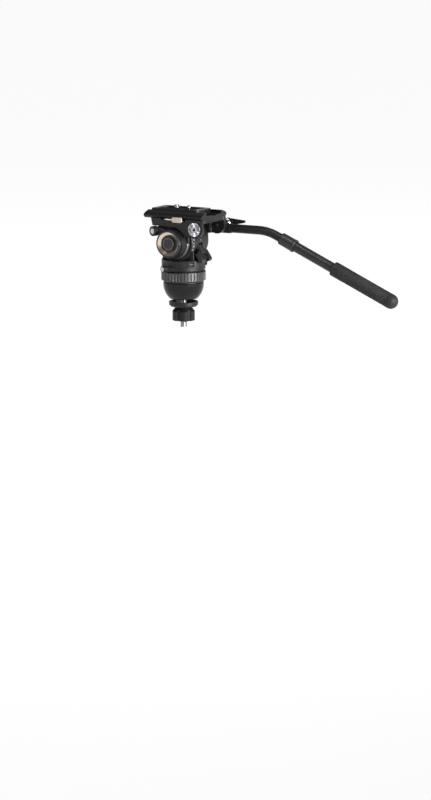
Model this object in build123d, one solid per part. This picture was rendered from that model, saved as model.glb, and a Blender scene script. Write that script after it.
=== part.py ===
from build123d import *
import math
import os

# Fluid video head with a 75 mm half ball, a sliding camera plate and a telescopic pan bar.
# The origin is the centre of the half ball. +Z is up and is the pan axis, +Y points to the
# operator at the rear, the lens looks along -Y, and +X is the operator's left-hand side.
# All lengths are millimetres, and angles are degrees.

# Fits and clearances
running_gap = 0.06
body_gap = 0.3
seat_gap = 0.1
overrun = 2.0
small_edge = 0.5
fine_edge = 0.3

# Shared by the pan and tilt drag discs
disc_thickness = 1.2
disc_pitch = 3.6
disc_margin = 1.5

# Half ball, pan base and spindle
ball_radius = 37.5
ball_depth = 27.0
rim_height = 3.5
rim_edge = 0.8
ball_wall = 6.0
neck_radius = 35.5
spigot_radius = 29.0
spigot_depth = 6.0
base_hub_radius = 28.0
spindle_radius = 8.0
spindle_thread_radius = 5.0
base_screw_circle = 21.0
base_screw_count = 4
m4_radius = 2.0
m4_head_radius = 3.5
m4_head_height = 4.0
m4_hex_radius = 1.75
screw_head_share = 0.55

# Tie-down
stud_radius = 6.0
stud_length = 70.0
stud_engagement = 16.0
stud_core_radius = 5.1
stud_pitch = 1.75
stud_top = -ball_depth + stud_engagement
stud_bottom = stud_top - stud_length
cup_radius = 27.0
cup_height = 9.0
cup_wall = 3.0
cup_top = -ball_depth - ball_wall
cup_bottom = cup_top - cup_height
tie_knob_radius = 21.0
tie_knob_height = 26.0
tie_lobe_count = 6
tie_lobe_radius = 5.0

# Knurled pan drag ring
ring_radius = 41.1
ring_bottom = 5.5
ring_shoulder = 8.0
ring_top = 24.0
ring_foot_radius = 37.6
ring_edge = 0.8
ring_rib_count = 40
ring_groove_width = 2.6
ring_groove_depth = 0.9
ring_groove_margin = 0.9

# Pan housing
housing_radius = 40.3
housing_bottom = 27.4
housing_top = 46.5
housing_edge = 1.2
housing_step = 33.2
housing_step_radius = 35.8
housing_bore = 31.0
housing_roof = 4.5
disc_clearance = 1.0
pan_bearing_top = housing_top - housing_roof + overrun
pan_disc_start = housing_bottom + disc_clearance
pan_disc_count = 3

# Level window at the rear left of the pan housing
window_angle = 45.0
window_width = 19.8
window_height = 10.0
window_centre_height = 39.8
window_floor_radius = 36.4
window_wall = 1.6
vial_radius = 2.2
vial_length = 15.0
pane_half_height = 3.2
pane_start = 0.4
pane_width = 8.0

# Light button at the rear right of the pan housing
button_angle = 120.0
button_height = 39.4
button_collar_radius = 5.8
button_collar_reach = 43.0
button_radius = 3.9
button_travel = 0.8
button_proud = 0.6
button_bore_depth = 8.0
button_bore_floor = button_collar_reach - button_bore_depth

# Pan lock lever, a ring round the pan axis with a paddle
pan_lever_bottom = 27.7
pan_lever_top = 32.9
pan_lever_ring_radius = 40.4
pan_boss_distance = 48.6
pan_boss_angle = -17.6
pan_boss_radius = 6.1
pan_cap_radius = 4.2
pan_boss_length = 7.0
pan_boss_height = 31.0
pan_arm_thickness = 5.0
pan_arm_root_angle = 16.0
relief_depth = 2.6
relief_length = 26.0
relief_turn = -14.0
relief_high = 41.0
pan_boss_x = pan_boss_distance * math.cos(math.radians(pan_boss_angle))
pan_boss_y = pan_boss_distance * math.sin(math.radians(pan_boss_angle))
lever_cap_proud = 0.5
lever_cap_depth = 2.0
boss_turn = -20.0

# Tilt axis, tower and drum
tilt_height = 79.0
tower_half_width = 20.5
tower_half_depth = 33.0
tower_edge = 1.5
drum_radius = 36.0
drum_half_width = 30.4
drum_bore = 27.0
drum_edge = 1.0
cover_thickness = 4.5
shaft_radius = 8.0
bearing_radius = 13.0
bearing_width = 4.0
housing_screw_x = 15.0
housing_screw_y = 25.0
housing_screw_length = 7.0
housing_screw_seat = 43.0
tower_cavity_radius = 12.0
tower_cavity_height = 10.0
ball_count = 10
race_share = 0.3
groove_share = 0.3
tilt_disc_start = 11.0
tilt_disc_pitch = 3.6
tilt_disc_count = 4
hub_sleeve_radius = 11.0
spring_pack_inner_radius = 12.0
spring_pack_radius = 22.0
spring_pack_width = 7.0
spring_pack_gap = 1.0
spring_pack_count = 3
spring_pack_start = -25.0

# Tilting carriage: ears, cheeks and saddle
ear_inner = 31.0
ear_outer = 37.0
ear_clearance = 1.0
ear_radius = tilt_height - housing_top - ear_clearance
ear_chamfer = 2.7
ear_face_radius = ear_radius - ear_chamfer
ear_chamfer_start = 33.0
cheek_outer = 44.0
carriage_front = 44.6
carriage_front_low = 41.4
carriage_rear = 64.0
carriage_rise = 44.5
carriage_top = tilt_height + carriage_rise
cheek_drop = 13.9
cheek_bottom = carriage_top - cheek_drop
cheek_rear_drop = 31.5
cheek_rear_bottom = carriage_top - cheek_rear_drop
saddle_radius = 36.6
cavity_front = 22.0
cavity_roof_thickness = 6.2
cavity_roof = carriage_top - cavity_roof_thickness
cheek_step = 38.0
dowel_radius = 1.5
dowel_inner = 25.0
dowel_outer = 39.0
dowel_front = 32.0
dowel_middle = 36.0
dowel_rear = 58.0
hub_radius = 20.0
lever_ring_space = 1.8
steep_share = 0.9
stop_pin_radius = 2.4
stop_pin_depth = 5.0
stop_pin_proud = 1.6
stop_pin_y = -16.0
stop_pin_drop = 11.5
stop_pin_z = carriage_top - stop_pin_drop

# Rosettes for the pan bar
rosette_offset = 49.0
rosette_drop = 16.5
rosette_height = carriage_top - rosette_drop
rosette_radius = 12.4
rosette_thickness = 3.0
rosette_face = cheek_outer + rosette_thickness
rosette_boss_radius = 16.2
rosette_teeth = 40
tooth_depth = 0.7
tooth_start_radius = 5.6
tooth_gap_share = 0.75
rosette_bore = 3.0

# Platform
platform_front = 56.6
platform_rear = 64.0
platform_half_width = 47.0
flange_rise = 3.5
flange_low = carriage_top + flange_rise
flange_height = 2.6
flange_high = flange_low + flange_height
flange_inset = 4.0
rail_shoulder_rise = 9.3
rail_shoulder = carriage_top + rail_shoulder_rise
rail_shoulder_inset = 5.0
platform_thickness = 12.8
rail_top = carriage_top + platform_thickness
rail_outer = 30.5
channel_depth = 6.1
channel_floor = rail_top - channel_depth
channel_half_width = 28.3
dovetail_lean = 2.0
corner_cut = 5.0
platform_screw_x = 19.0
platform_screw_front = 37.0
platform_screw_rear = 57.0
platform_screw_sink = 3.4
platform_screw_seat = channel_floor - platform_screw_sink
platform_screw_depth = 5.4
channel_relief_width = 18.0
channel_relief_depth = 1.2

# Camera plate
plate_front = 52.0
plate_rear = 46.0
plate_corner = 12.0
plate_proud = 2.9
plate_top = rail_top + plate_proud
plate_half_width = 25.0
plate_slot_half_length = 30.0
plate_slot_width = 11.0
plate_slot_skin = 4.0
plate_slot_roof = plate_top - plate_slot_skin
plate_slot_recess_width = 20.0
pad_thickness = 1.2
pad_proud = 0.6
pad_width = 13.0
pad_margin = 2.4
small_screw_radius = 3.175
small_screw_place = 12.0
large_screw_radius = 4.7625
large_screw_place = -14.0
camera_screw_reach = 5.5
camera_head_radius = 8.5
camera_head_height = 3.4
camera_neck_share = 0.8

# Plate lock lever in a slot under the platform's left side, and its jaw
lock_pivot_x = 36.5
lock_pivot_y = -16.6
lock_pivot_radius = 2.5
lock_pivot_depth = 7.0
lock_thickness = 2.2
lock_pocket_height = 2.8
lock_pocket_inner = 30.0
lock_pocket_front = -21.8
lock_pocket_rear = 28.5
lock_arm_width = 8.0
lock_tab_front = 4.7
lock_tab_rear = 25.7
lock_tab_drop = 5.7
lock_tab_low = carriage_top - lock_tab_drop
lock_tab_height = 10.2
lock_tab_high = lock_tab_low + lock_tab_height
lock_tab_gap = 0.6
lock_tab_thickness = 3.4
lock_tab_inner = platform_half_width + lock_tab_gap
lock_tab_outer = lock_tab_inner + lock_tab_thickness
lock_tab_round = 3.0
lock_pin_cover = 1.2
lock_pin_top = channel_floor - lock_pin_cover
jaw_half_length = 21.0
jaw_depth = 4.2
jaw_height = 3.6
jaw_travel = 0.8
slide_gap = 0.15

# Tilt drag knob and tilt lock lever on the left
lever_ring_inner = 37.4
lever_ring_outer = 49.0
lever_ring_base_radius = 28.2
lever_ring_face_radius = 26.0
tilt_boss_y = -34.2
tilt_boss_rise = 20.8
tilt_boss_z = tilt_height + tilt_boss_rise
tilt_boss_radius = 9.2
tilt_cap_radius = 4.9
tilt_boss_length = 9.0
tilt_boss_x = 47.0
tilt_arm_inner = 40.0
tilt_arm_outer = 47.6
tilt_root_radius = 2.6
tilt_root_y = -6.0
tilt_root_rise = 21.6
tilt_root_z = tilt_height + tilt_root_rise
boss_keep_share = 0.5
knob_back = 49.4
knob_front = 57.0
knob_radius = 24.6
knob_edge = 0.8
knob_groove_depth = 0.8
knob_groove_width = 1.0
trim_radius = 21.4
trim_inner_radius = 16.0
trim_depth = 3.6
trim_wall = 1.4
badge_radius = 11.4
badge_front = 55.6
badge_thickness = 1.6
knob_groove_shares = (0.25, 0.5)
knob_web = 2.4
shaft_end = knob_back + knob_web
badge_seat = badge_front - badge_thickness
trim_floor = knob_front - trim_depth - trim_wall

# Counterbalance wing knob at the rear: its axis runs back and down
selector_y = 33.0
selector_sink = 12.0
selector_z = tilt_height - selector_sink
selector_drop = 56.0
selector_recess_radius = 10.8
selector_recess_depth = 7.0
selector_hub_radius = 8.6
selector_hub_depth = 4.0
selector_hub_end = 13.0
selector_shaft_radius = 3.0
selector_shaft_depth = 11.0
selector_shaft_seat = 10.0
scoop_radius = 18.8
scoop_start = 2.2
wing_start = 3.2
wing_end = 28.0
wing_shoulder = 5.5
wing_inner = 6.5
wing_outer = 17.4
wing_half_thickness = 5.0
wing_round = 4.2
wing_edge = 1.8
web_half_thickness = 2.6
web_end = 22.0

# Right-hand cap on the tilt shaft
right_cap_outer = 42.5
right_cap_radius = 22.0

# Pan bar
bar_plane = 57.3
bar_arm_sink = 7.4
bar_arm_height = rosette_height - bar_arm_sink
bar_arm_start = 60.0
bar_bend_y = 144.8
bar_bend_radius = 88.0
bar_drop = 24.0
bar_radius = 8.1
bar_half_width = 6.4
bar_direction = (0, math.cos(math.radians(bar_drop)), -math.sin(math.radians(bar_drop)))
bar_tangent = bar_bend_radius * math.tan(math.radians(bar_drop / 2))
bar_groove_width = 3.0
bar_groove_depth = 0.9
bar_collar_start = 31.5
bar_inner_length = 112.0
bar_hub_radius = 14.3
bar_hub_inner = 50.4
bar_hub_disc = 3.2
bar_boss_radius = 9.4
bar_hub_outer = 63.0
bar_neck_start = 45.0
bar_neck_end = 68.0
bar_neck_wall = 1.0
bar_neck_round = 3.5
collar_length = 30.0
collar_radius = 11.4
collar_lip_radius = 12.0
collar_lip_length = 5.0
collar_cap = 1.5
tube_length_in_grip = 120.0
tube_radius = 9.3
tube_bore = 8.4
tube_visible_length = 85.0
grip_length = 139.0
grip_radius = 13.5
grip_rib_count = 34
grip_rib_depth = 0.5
grip_rib_start_share = 0.2
grip_rib_end_share = 0.86

# Clamp bolt, its spring and lever
bolt_radius = 4.0
bolt_inner_end = 33.0
bolt_outer_end = 91.3
bolt_collar_radius = 8.6
spring_seat = 61.0
spring_radius = 7.6
spring_wire = 1.8
spring_quarters = 15
spring_tang_radius = 2.0
clamp_lever_inner = 81.5
clamp_lever_outer = 90.5
clamp_hub_radius = 6.6
clamp_lever_length = 29.0
clamp_lever_rise = 3.5
clamp_tip_radius = 2.4
clamp_lever_thickness = 5.0
washer_thickness = 1.2
spring_outer = clamp_lever_inner - washer_thickness - body_gap
coil_start = spring_seat + spring_wire + spring_tang_radius
coil_end = spring_outer - spring_wire - spring_tang_radius


# Shape helpers
def face_of(*corners):
    """Flat face with the given corners, in the sketch plane."""
    return make_face(Polyline(*corners, close=True))


def turned(*corners):
    """Solid of revolution about +Z, from corners given as (radius, height)."""
    return revolve(Plane.XZ * face_of(*corners), Axis.Z)


def turned_x(*corners):
    """Solid of revolution about the tilt axis, from corners given as (radius, X)."""
    return Pos(0, 0, tilt_height) * Rot(0, 90, 0) * turned(*corners)


def rod(radius, low, high):
    """Upright cylinder between two heights."""
    return Pos(0, 0, (low + high) / 2) * Cylinder(radius, high - low)


def rod_x(radius, low, high, y=0, z=0):
    """Cylinder along X between two places."""
    return Pos((low + high) / 2, y, z) * Rot(0, 90, 0) * Cylinder(radius, high - low)


def box(x_low, x_high, y_low, y_high, z_low, z_high):
    """Block between two corners."""
    centre = Pos((x_low + x_high) / 2, (y_low + y_high) / 2, (z_low + z_high) / 2)
    return centre * Box(x_high - x_low, y_high - y_low, z_high - z_low)


def slab_x(face, low, high):
    """A (Y, Z) face made solid between two places along X."""
    return extrude(Plane.YZ.offset(low) * face, high - low)


def slab_z(face, low, high):
    """An (X, Y) face made solid between two heights."""
    return extrude(Plane.XY.offset(low) * face, high - low)


def disc_face(radius, y, z):
    """Round (Y, Z) face."""
    return Pos(y, z) * Circle(radius)


def frame_along(origin, direction, x_direction):
    """Place whose local Z runs along the direction."""
    return Plane(origin=origin, x_dir=x_direction, z_dir=direction).location


def threaded_rod(radius, depth, pitch, low, high):
    """Upright screw whose threads are drawn as a row of V rings."""
    corners = [(0, low), (radius - depth, low)]
    turns = math.ceil((high - low) / pitch) - 1
    for turn in range(turns):
        height = low + turn * pitch
        corners += [(radius, height + pitch / 2), (radius - depth, height + pitch)]
    corners += [(radius - depth, high), (0, high)]
    return turned(*corners)


def socket_screw(head_radius, head_height, shank_radius, shank_length, hex_radius):
    """Cap screw: the head stands on Z = 0 and the shank goes down."""
    screw = rod(head_radius, 0, head_height) + rod(shank_radius, -shank_length, 0)
    socket = extrude(Pos(0, 0, head_height) * RegularPolygon(hex_radius, 6), -head_height / 2)
    return screw - socket


# Base: half ball, pan base and what is screwed to them
def make_half_ball():
    ball = Sphere(ball_radius) & rod(ball_radius + overrun, -ball_depth, 0)
    rim = turned(
        (0, 0), (ball_radius, 0), (ball_radius, rim_height - rim_edge),
        (ball_radius - rim_edge, rim_height), (0, rim_height),
    )
    solid = ball + rim - rod(spigot_radius + seat_gap, -spigot_depth, rim_height + overrun)
    solid -= rod(stud_radius + running_gap, -ball_depth - overrun, 0)
    for angle in range(base_screw_count):
        hole = rod(m4_radius + seat_gap, -ball_depth - overrun, 0)
        head = rod(m4_head_radius + seat_gap, -ball_depth - overrun, -spigot_depth - ball_wall)
        solid -= Rot(0, 0, angle * 360 / base_screw_count) * Pos(base_screw_circle, 0, 0) * (hole + head)
    return solid


def make_pan_base():
    base = turned(
        (0, -spigot_depth), (spigot_radius, -spigot_depth), (spigot_radius, rim_height),
        (neck_radius, rim_height), (neck_radius, ring_bottom - body_gap),
        (base_hub_radius, ring_bottom - body_gap), (base_hub_radius, ring_top - overrun),
        (spindle_radius, ring_top - overrun), (spindle_radius, housing_top - housing_roof + overrun),
        (spindle_thread_radius, housing_top - housing_roof + overrun),
        (spindle_thread_radius, housing_top + ball_wall), (0, housing_top + ball_wall),
    )
    for angle in range(base_screw_count):
        hole = rod(m4_radius, -spigot_depth - overrun, rim_height)
        base -= Rot(0, 0, angle * 360 / base_screw_count) * Pos(base_screw_circle, 0, 0) * hole
    return base


def make_base_screws():
    length = spigot_depth + ball_wall
    screw = Rot(180, 0, 0) * socket_screw(m4_head_radius, m4_head_height, m4_radius, length, m4_hex_radius)
    places = [
        Rot(0, 0, index * 360 / base_screw_count) * Pos(base_screw_circle, 0, -spigot_depth - ball_wall)
        for index in range(base_screw_count)
    ]
    return Compound(children=[place * screw for place in places])


def make_tie_down_stud():
    return threaded_rod(stud_radius, stud_radius - stud_core_radius, stud_pitch, stud_bottom, stud_top)


def make_tie_down_cup():
    cup = turned(
        (stud_radius + seat_gap, cup_bottom), (cup_radius - cup_wall, cup_bottom),
        (cup_radius, cup_bottom + cup_wall),
        (cup_radius, cup_top), (cup_radius - cup_wall, cup_top),
        (cup_radius - cup_wall, cup_bottom + cup_wall),
        (stud_radius + seat_gap, cup_bottom + cup_wall),
    )
    return cup


def make_tie_down_knob():
    top = cup_bottom
    bottom = top - tie_knob_height
    neck = (tie_knob_radius + stud_radius) / 2
    knob = turned(
        (stud_radius + running_gap, bottom), (tie_knob_radius - small_edge, bottom),
        (tie_knob_radius, bottom + small_edge), (tie_knob_radius, top - cup_height),
        (neck, top), (stud_radius + running_gap, top),
    )
    flute = rod(tie_lobe_radius, bottom - overrun, top + overrun)
    knob -= PolarLocations(tie_knob_radius + tie_lobe_radius / 2, tie_lobe_count) * flute
    return knob


# Pan drag: knurled ring and the discs inside
def make_pan_drag_ring():
    bore = base_hub_radius + running_gap
    ring = turned(
        (bore, ring_bottom), (ring_foot_radius, ring_bottom), (ring_radius, ring_shoulder),
        (ring_radius, ring_top - ring_edge), (ring_radius - ring_edge, ring_top), (bore, ring_top),
    )
    low = ring_shoulder + ring_groove_margin
    high = ring_top - ring_edge - ring_groove_margin
    groove = box(-ring_groove_depth, overrun, -ring_groove_width / 2, ring_groove_width / 2, low, high)
    return ring - PolarLocations(ring_radius, ring_rib_count) * groove


def make_pan_stator_discs():
    outer = housing_bore - disc_margin
    rings = []
    for index in range(pan_disc_count):
        low = pan_disc_start + index * disc_pitch
        rings.append(rod(outer, low, low + disc_thickness)
                     - rod(spindle_radius, low - overrun, low + overrun))
    return Compound(children=rings)


def make_pan_rotor_discs():
    inner = spindle_radius + disc_margin
    rings = []
    for index in range(pan_disc_count):
        low = pan_disc_start + index * disc_pitch + disc_pitch / 2
        rings.append(rod(housing_bore, low, low + disc_thickness) - rod(inner, low - overrun, low + overrun))
    return Compound(children=rings)


def make_pan_lock_nut():
    low = housing_top - housing_roof + overrun
    nut = slab_z(RegularPolygon(spindle_radius, 6), low, low + m4_head_height)
    return nut - rod(spindle_thread_radius, low - overrun, low + m4_head_height + overrun)


def make_bearing(bore, outer, low, high, balls):
    """Ball bearing about +Z as two races and their balls."""
    wall = (outer - bore) * race_share
    middle = (outer + bore) / 2
    height = (low + high) / 2
    ball = (outer - bore - 2 * wall) / 2 + wall * groove_share
    groove = Pos(0, 0, height) * Torus(middle, ball + seat_gap / 2)
    inner_race = rod(bore + wall, low, high) - rod(bore, low - overrun, high + overrun) - groove
    outer_race = rod(outer, low, high) - rod(outer - wall, low - overrun, high + overrun) - groove
    spheres = [
        Rot(0, 0, index * 360 / balls) * Pos(middle, 0, height) * Sphere(ball) for index in range(balls)
    ]
    return Compound(children=[inner_race, outer_race] + spheres)


# Pan housing with its window, button collar, seal and lever


def make_pan_housing():
    body = turned(
        (housing_bore, housing_bottom), (housing_step_radius, housing_bottom),
        (housing_step_radius, housing_step), (housing_radius, housing_step),
        (housing_radius, housing_top - housing_edge),
        (housing_radius - housing_edge, housing_top), (spindle_radius + disc_margin, housing_top),
        (spindle_radius + disc_margin, pan_bearing_top), (bearing_radius, pan_bearing_top),
        (bearing_radius, pan_bearing_top - bearing_width), (housing_bore, pan_bearing_top - bearing_width),
    )
    collar = rod_x(button_collar_radius, housing_bore + disc_margin, button_collar_reach, 0, button_height)
    body += Rot(0, 0, button_angle) * collar
    bore = rod_x(button_radius + seat_gap, button_bore_floor, button_collar_reach + overrun, 0, button_height)
    body -= Rot(0, 0, button_angle) * bore
    window = box(
        window_floor_radius, housing_radius + overrun, -window_width / 2, window_width / 2,
        window_centre_height - window_height / 2, window_centre_height + window_height / 2,
    )
    body -= Rot(0, 0, window_angle) * window
    body -= vial_pocket(seat_gap)
    body -= lever_relief()
    for place in housing_screw_places():
        body -= place * rod(m4_radius, housing_screw_seat - overrun, housing_top + overrun)
        body -= place * rod(m4_head_radius + seat_gap, pan_bearing_top - bearing_width - overrun,
                            housing_screw_seat)
    return body


def lever_relief():
    """Slanting recess above the pan lever's paddle."""
    face = face_of(
        (-relief_length / 2, housing_step), (relief_length / 2, housing_step),
        (-relief_length / 2, relief_high))
    cut = slab_x(face, housing_radius - relief_depth, housing_radius + overrun)
    return Rot(0, 0, relief_turn) * cut


def vial_pocket(margin):
    """Round bore for the bubble vial, behind the window."""
    half = vial_length / 2 + margin
    place = Rot(0, 0, window_angle) * Pos(window_floor_radius, 0, window_centre_height)
    return place * Rot(90, 0, 0) * Cylinder(
        vial_radius + margin, 2 * half)


def make_level_vial():
    return vial_pocket(0)


def make_level_window():
    """Clear cover in the window, with a hollow over the vial."""
    front = window_floor_radius + window_wall
    pane = box(
        window_floor_radius, front, -window_width / 2 + seat_gap, window_width / 2 - seat_gap,
        window_centre_height - window_height / 2 + seat_gap,
        window_centre_height + window_height / 2 - seat_gap,
    )
    hollow = Pos(window_floor_radius, 0, window_centre_height) * Rot(90, 0, 0) * Cylinder(
        vial_radius + seat_gap, vial_length + 2 * seat_gap)
    frame = box(
        window_floor_radius + window_wall, front + window_wall / 2, -window_width / 2 + seat_gap,
        window_width / 2 - seat_gap, window_centre_height - window_height / 2 + seat_gap,
        window_centre_height + window_height / 2 - seat_gap,
    )
    low = window_centre_height - pane_half_height
    high = window_centre_height + pane_half_height
    opening = box(front - overrun / 2, front + overrun, pane_start, pane_start + pane_width, low, high)
    return Rot(0, 0, window_angle) * (pane + frame - hollow - opening)


def make_level_light_button():
    tip = button_collar_reach + button_proud
    back = button_bore_floor + button_travel + seat_gap
    cap = rod_x(button_radius, back, tip - fine_edge, 0, button_height)
    cap += rod_x(button_radius - fine_edge, tip - fine_edge, tip, 0, button_height)
    return Rot(0, 0, button_angle) * cap


def make_pan_seal():
    low = ring_top + body_gap
    ring = rod(housing_step_radius - small_edge, low, housing_bottom)
    return ring - rod(housing_bore + small_edge, low - overrun, housing_bottom + overrun)


def boss_location(x, y, z, turn):
    """Place of a paddle's round end, with local Z pointing out of its face."""
    return Pos(x, y, z) * Rot(0, 0, turn) * Rot(0, 90, 0)


def paddle_boss(place, radius, length):
    """Round end of a paddle."""
    edge = rod(radius - small_edge, length / 2 - small_edge, length / 2)
    return place * (rod(radius, -length / 2, length / 2 - small_edge) + edge)


def cap_seat(place, cap_radius, length):
    """Shallow seat for the metal disc in a paddle's round end."""
    return place * rod(cap_radius + seat_gap, length / 2 - lever_cap_depth, length / 2 + 2 * overrun)


def paddle_cap(place, cap_radius, length):
    """Metal disc pressed in the end of a paddle."""
    low = length / 2 - lever_cap_depth
    high = length / 2 + lever_cap_proud
    return place * (rod(cap_radius, low, high - fine_edge)
                    + rod(cap_radius - fine_edge, high - fine_edge, high))


def make_pan_lock_lever():
    ring = rod(pan_lever_ring_radius, pan_lever_bottom, pan_lever_top)
    ring -= rod(housing_step_radius + running_gap, pan_lever_bottom - overrun, pan_lever_top + overrun)
    root = math.radians(pan_arm_root_angle)
    root_x = (pan_lever_ring_radius - pan_arm_thickness / 2) * math.cos(root)
    root_y = (pan_lever_ring_radius - pan_arm_thickness / 2) * math.sin(root)
    half = pan_arm_thickness / 2
    plan = face_of(
        (root_x - half, root_y), (root_x + half, root_y),
        (pan_boss_x + half, pan_boss_y), (pan_boss_x - half, pan_boss_y),
    )
    low = pan_boss_height - pan_boss_radius
    high = pan_boss_height + pan_boss_radius
    side = face_of(
        (pan_boss_y, low), (pan_boss_y + pan_boss_radius, low + pan_boss_radius / 4),
        (root_y, pan_lever_bottom),
        (root_y, pan_lever_top), (pan_boss_y + pan_boss_radius, high - pan_boss_radius / 4),
        (pan_boss_y, high),
    )
    reach = 2 * pan_arm_thickness
    arm = slab_z(plan, low, high) & slab_x(side, root_x - reach, pan_boss_x + reach)
    clear = rod(housing_radius + body_gap, pan_lever_top, high + overrun)
    clear += rod(housing_step_radius + running_gap, low - overrun, high + overrun)
    clear += rod(ring_radius + body_gap, low - overrun, ring_top + body_gap)
    place = boss_location(pan_boss_x, pan_boss_y, pan_boss_height, boss_turn)
    lever = ring + (arm - clear) + paddle_boss(place, pan_boss_radius, pan_boss_length)
    return lever - cap_seat(place, pan_cap_radius, pan_boss_length)


def make_pan_lever_cap():
    place = boss_location(pan_boss_x, pan_boss_y, pan_boss_height, boss_turn)
    return paddle_cap(place, pan_cap_radius, pan_boss_length)


# Tower and drum


def housing_screw_places():
    return GridLocations(2 * housing_screw_x, 2 * housing_screw_y, 2, 2).locations


def selector_frame():
    """Place of the wing knob: local Z is its axis, local Y points down and local X is across."""
    drop = math.radians(selector_drop)
    return frame_along((0, selector_y, selector_z), (0, math.cos(drop), -math.sin(drop)), (1, 0, 0))


def make_tilt_housing():
    tower = box(-tower_half_width, tower_half_width, -tower_half_depth, tower_half_depth, housing_top,
                tilt_height)
    tower = fillet(tower.edges().filter_by(Axis.Z), tower_edge)
    tower &= rod(housing_radius - housing_edge, housing_top, tilt_height)
    drum = turned_x(
        (0, -drum_half_width), (drum_radius - drum_edge, -drum_half_width),
        (drum_radius, drum_edge - drum_half_width),
        (drum_radius, drum_half_width - drum_edge), (drum_radius - drum_edge, drum_half_width),
        (0, drum_half_width),
    )
    body = tower + drum
    body -= rod_x(drum_bore, -drum_half_width - overrun, drum_half_width + overrun, 0, tilt_height)
    body -= rod(tower_cavity_radius, housing_top - overrun, housing_top + tower_cavity_height)
    recess = rod(selector_recess_radius, -selector_recess_depth, scoop_start + overrun)
    scoop = rod(scoop_radius, scoop_start, scoop_start + drum_radius)
    shaft_bore = rod(selector_shaft_radius + running_gap, -selector_shaft_depth - overrun, scoop_start)
    body -= selector_frame() * (recess + scoop + shaft_bore)
    reach = drum_radius + overrun
    body &= box(-reach, reach, -reach, reach, housing_top, tilt_height + reach)
    for place in housing_screw_places():
        body -= place * rod(m4_radius, housing_top - overrun, housing_top + housing_screw_length)
    return body


def make_housing_screws():
    length = housing_top - housing_screw_seat + housing_screw_length
    screw = Pos(0, 0, housing_screw_seat) * Rot(180, 0, 0) * socket_screw(
        m4_head_radius, m4_head_height * screw_head_share, m4_radius, length, m4_hex_radius)
    return Compound(children=[place * screw for place in housing_screw_places()])


def make_drum_cover(side):
    """Round cover that closes one end of the drum and holds its bearing."""
    inner = drum_half_width - cover_thickness
    middle = drum_half_width - bearing_width
    cover = rod_x(drum_bore - running_gap, inner, drum_half_width, 0, tilt_height)
    cover -= rod_x(bearing_radius, middle, drum_half_width + overrun, 0, tilt_height)
    cover -= rod_x(shaft_radius + disc_margin, inner - overrun, drum_half_width, 0, tilt_height)
    return cover if side > 0 else mirror(cover, about=Plane.YZ)


def make_tilt_bearings():
    low = drum_half_width - bearing_width
    bearing = make_bearing(shaft_radius + running_gap, bearing_radius, low, drum_half_width, ball_count)
    left = Pos(0, 0, tilt_height) * Rot(0, 90, 0) * bearing
    right = mirror(left, about=Plane.YZ)
    return Compound(children=list(left.solids()) + list(right.solids()))


def make_pan_bearing():
    low = pan_bearing_top - bearing_width
    return make_bearing(spindle_radius + running_gap, bearing_radius, low, pan_bearing_top, ball_count)


def make_tilt_stator_discs():
    """Still discs of the tilt damper, held by the drum."""
    inner = hub_sleeve_radius + disc_margin
    rings = []
    for index in range(tilt_disc_count):
        low = tilt_disc_start + index * tilt_disc_pitch
        ring = rod_x(drum_bore, low, low + disc_thickness, 0, tilt_height)
        rings.append(ring - rod_x(inner, low - overrun, low + overrun, 0, tilt_height))
    return Compound(children=rings)


def make_tilt_rotor_discs():
    """Turning discs of the tilt damper, on a sleeve keyed to the shaft."""
    outer = drum_bore - disc_margin
    end = tilt_disc_start + tilt_disc_count * tilt_disc_pitch
    rotor = rod_x(hub_sleeve_radius, tilt_disc_start, end, 0, tilt_height)
    for index in range(tilt_disc_count):
        low = tilt_disc_start + index * tilt_disc_pitch + tilt_disc_pitch / 2
        rotor += rod_x(outer, low, low + disc_thickness, 0, tilt_height)
    return rotor - rod_x(shaft_radius, tilt_disc_start - overrun, end + overrun, 0, tilt_height)


def make_counterbalance_springs():
    """Wound spring packs that balance the camera, standing round the shaft and seated in the drum."""
    packs = []
    for index in range(spring_pack_count):
        low = spring_pack_start + index * (spring_pack_width + spring_pack_gap)
        pack = rod_x(spring_pack_radius, low, low + spring_pack_width, 0, tilt_height)
        foot = box(low, low + spring_pack_width, -spring_pack_width / 2, spring_pack_width / 2,
                   tilt_height + spring_pack_inner_radius, tilt_height + drum_bore - small_edge)
        bore = rod_x(spring_pack_inner_radius, low - overrun, low + spring_pack_width + overrun, 0,
                     tilt_height)
        packs.append(pack + foot - bore)
    return Compound(children=packs)


# Wing knob and its shaft
def make_wing_knob():
    hub = rod(selector_hub_radius, -selector_hub_depth, selector_hub_end)
    hub = chamfer(hub.edges().sort_by(Axis.Z)[-1], small_edge)
    middle = (wing_start + wing_end) / 2
    outline = Pos(0, middle) * RectangleRounded(2 * wing_half_thickness, wing_end - wing_start, wing_round)
    wing = slab_x(outline, wing_inner, wing_outer)
    wing = fillet(wing.edges().group_by(Axis.X)[-1], wing_edge)
    wing -= slab_y(
        face_of((wing_outer - wing_shoulder, wing_start), (wing_outer + overrun, wing_start),
                (wing_outer + overrun, wing_start + wing_shoulder + overrun)),
        -wing_half_thickness - overrun, wing_half_thickness + overrun)
    web = box(-wing_inner - overrun, wing_inner + overrun, -web_half_thickness, web_half_thickness,
              wing_start, web_end)
    knob = hub + web + wing + mirror(wing, about=Plane.YZ)
    bore = rod(selector_shaft_radius, -selector_hub_depth - overrun, selector_shaft_seat)
    return selector_frame() * (knob - bore)


def make_selector_shaft():
    return selector_frame() * rod(selector_shaft_radius, -selector_shaft_depth, selector_shaft_seat)


# Tilting carriage
def ear_face(radius, top):
    """U-shaped (Y, Z) outline round the tilt axis, open upward to the cheek."""
    upper = Pos(0, (tilt_height + top) / 2) * Rectangle(2 * radius, top - tilt_height)
    return disc_face(radius, 0, tilt_height) + upper


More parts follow.
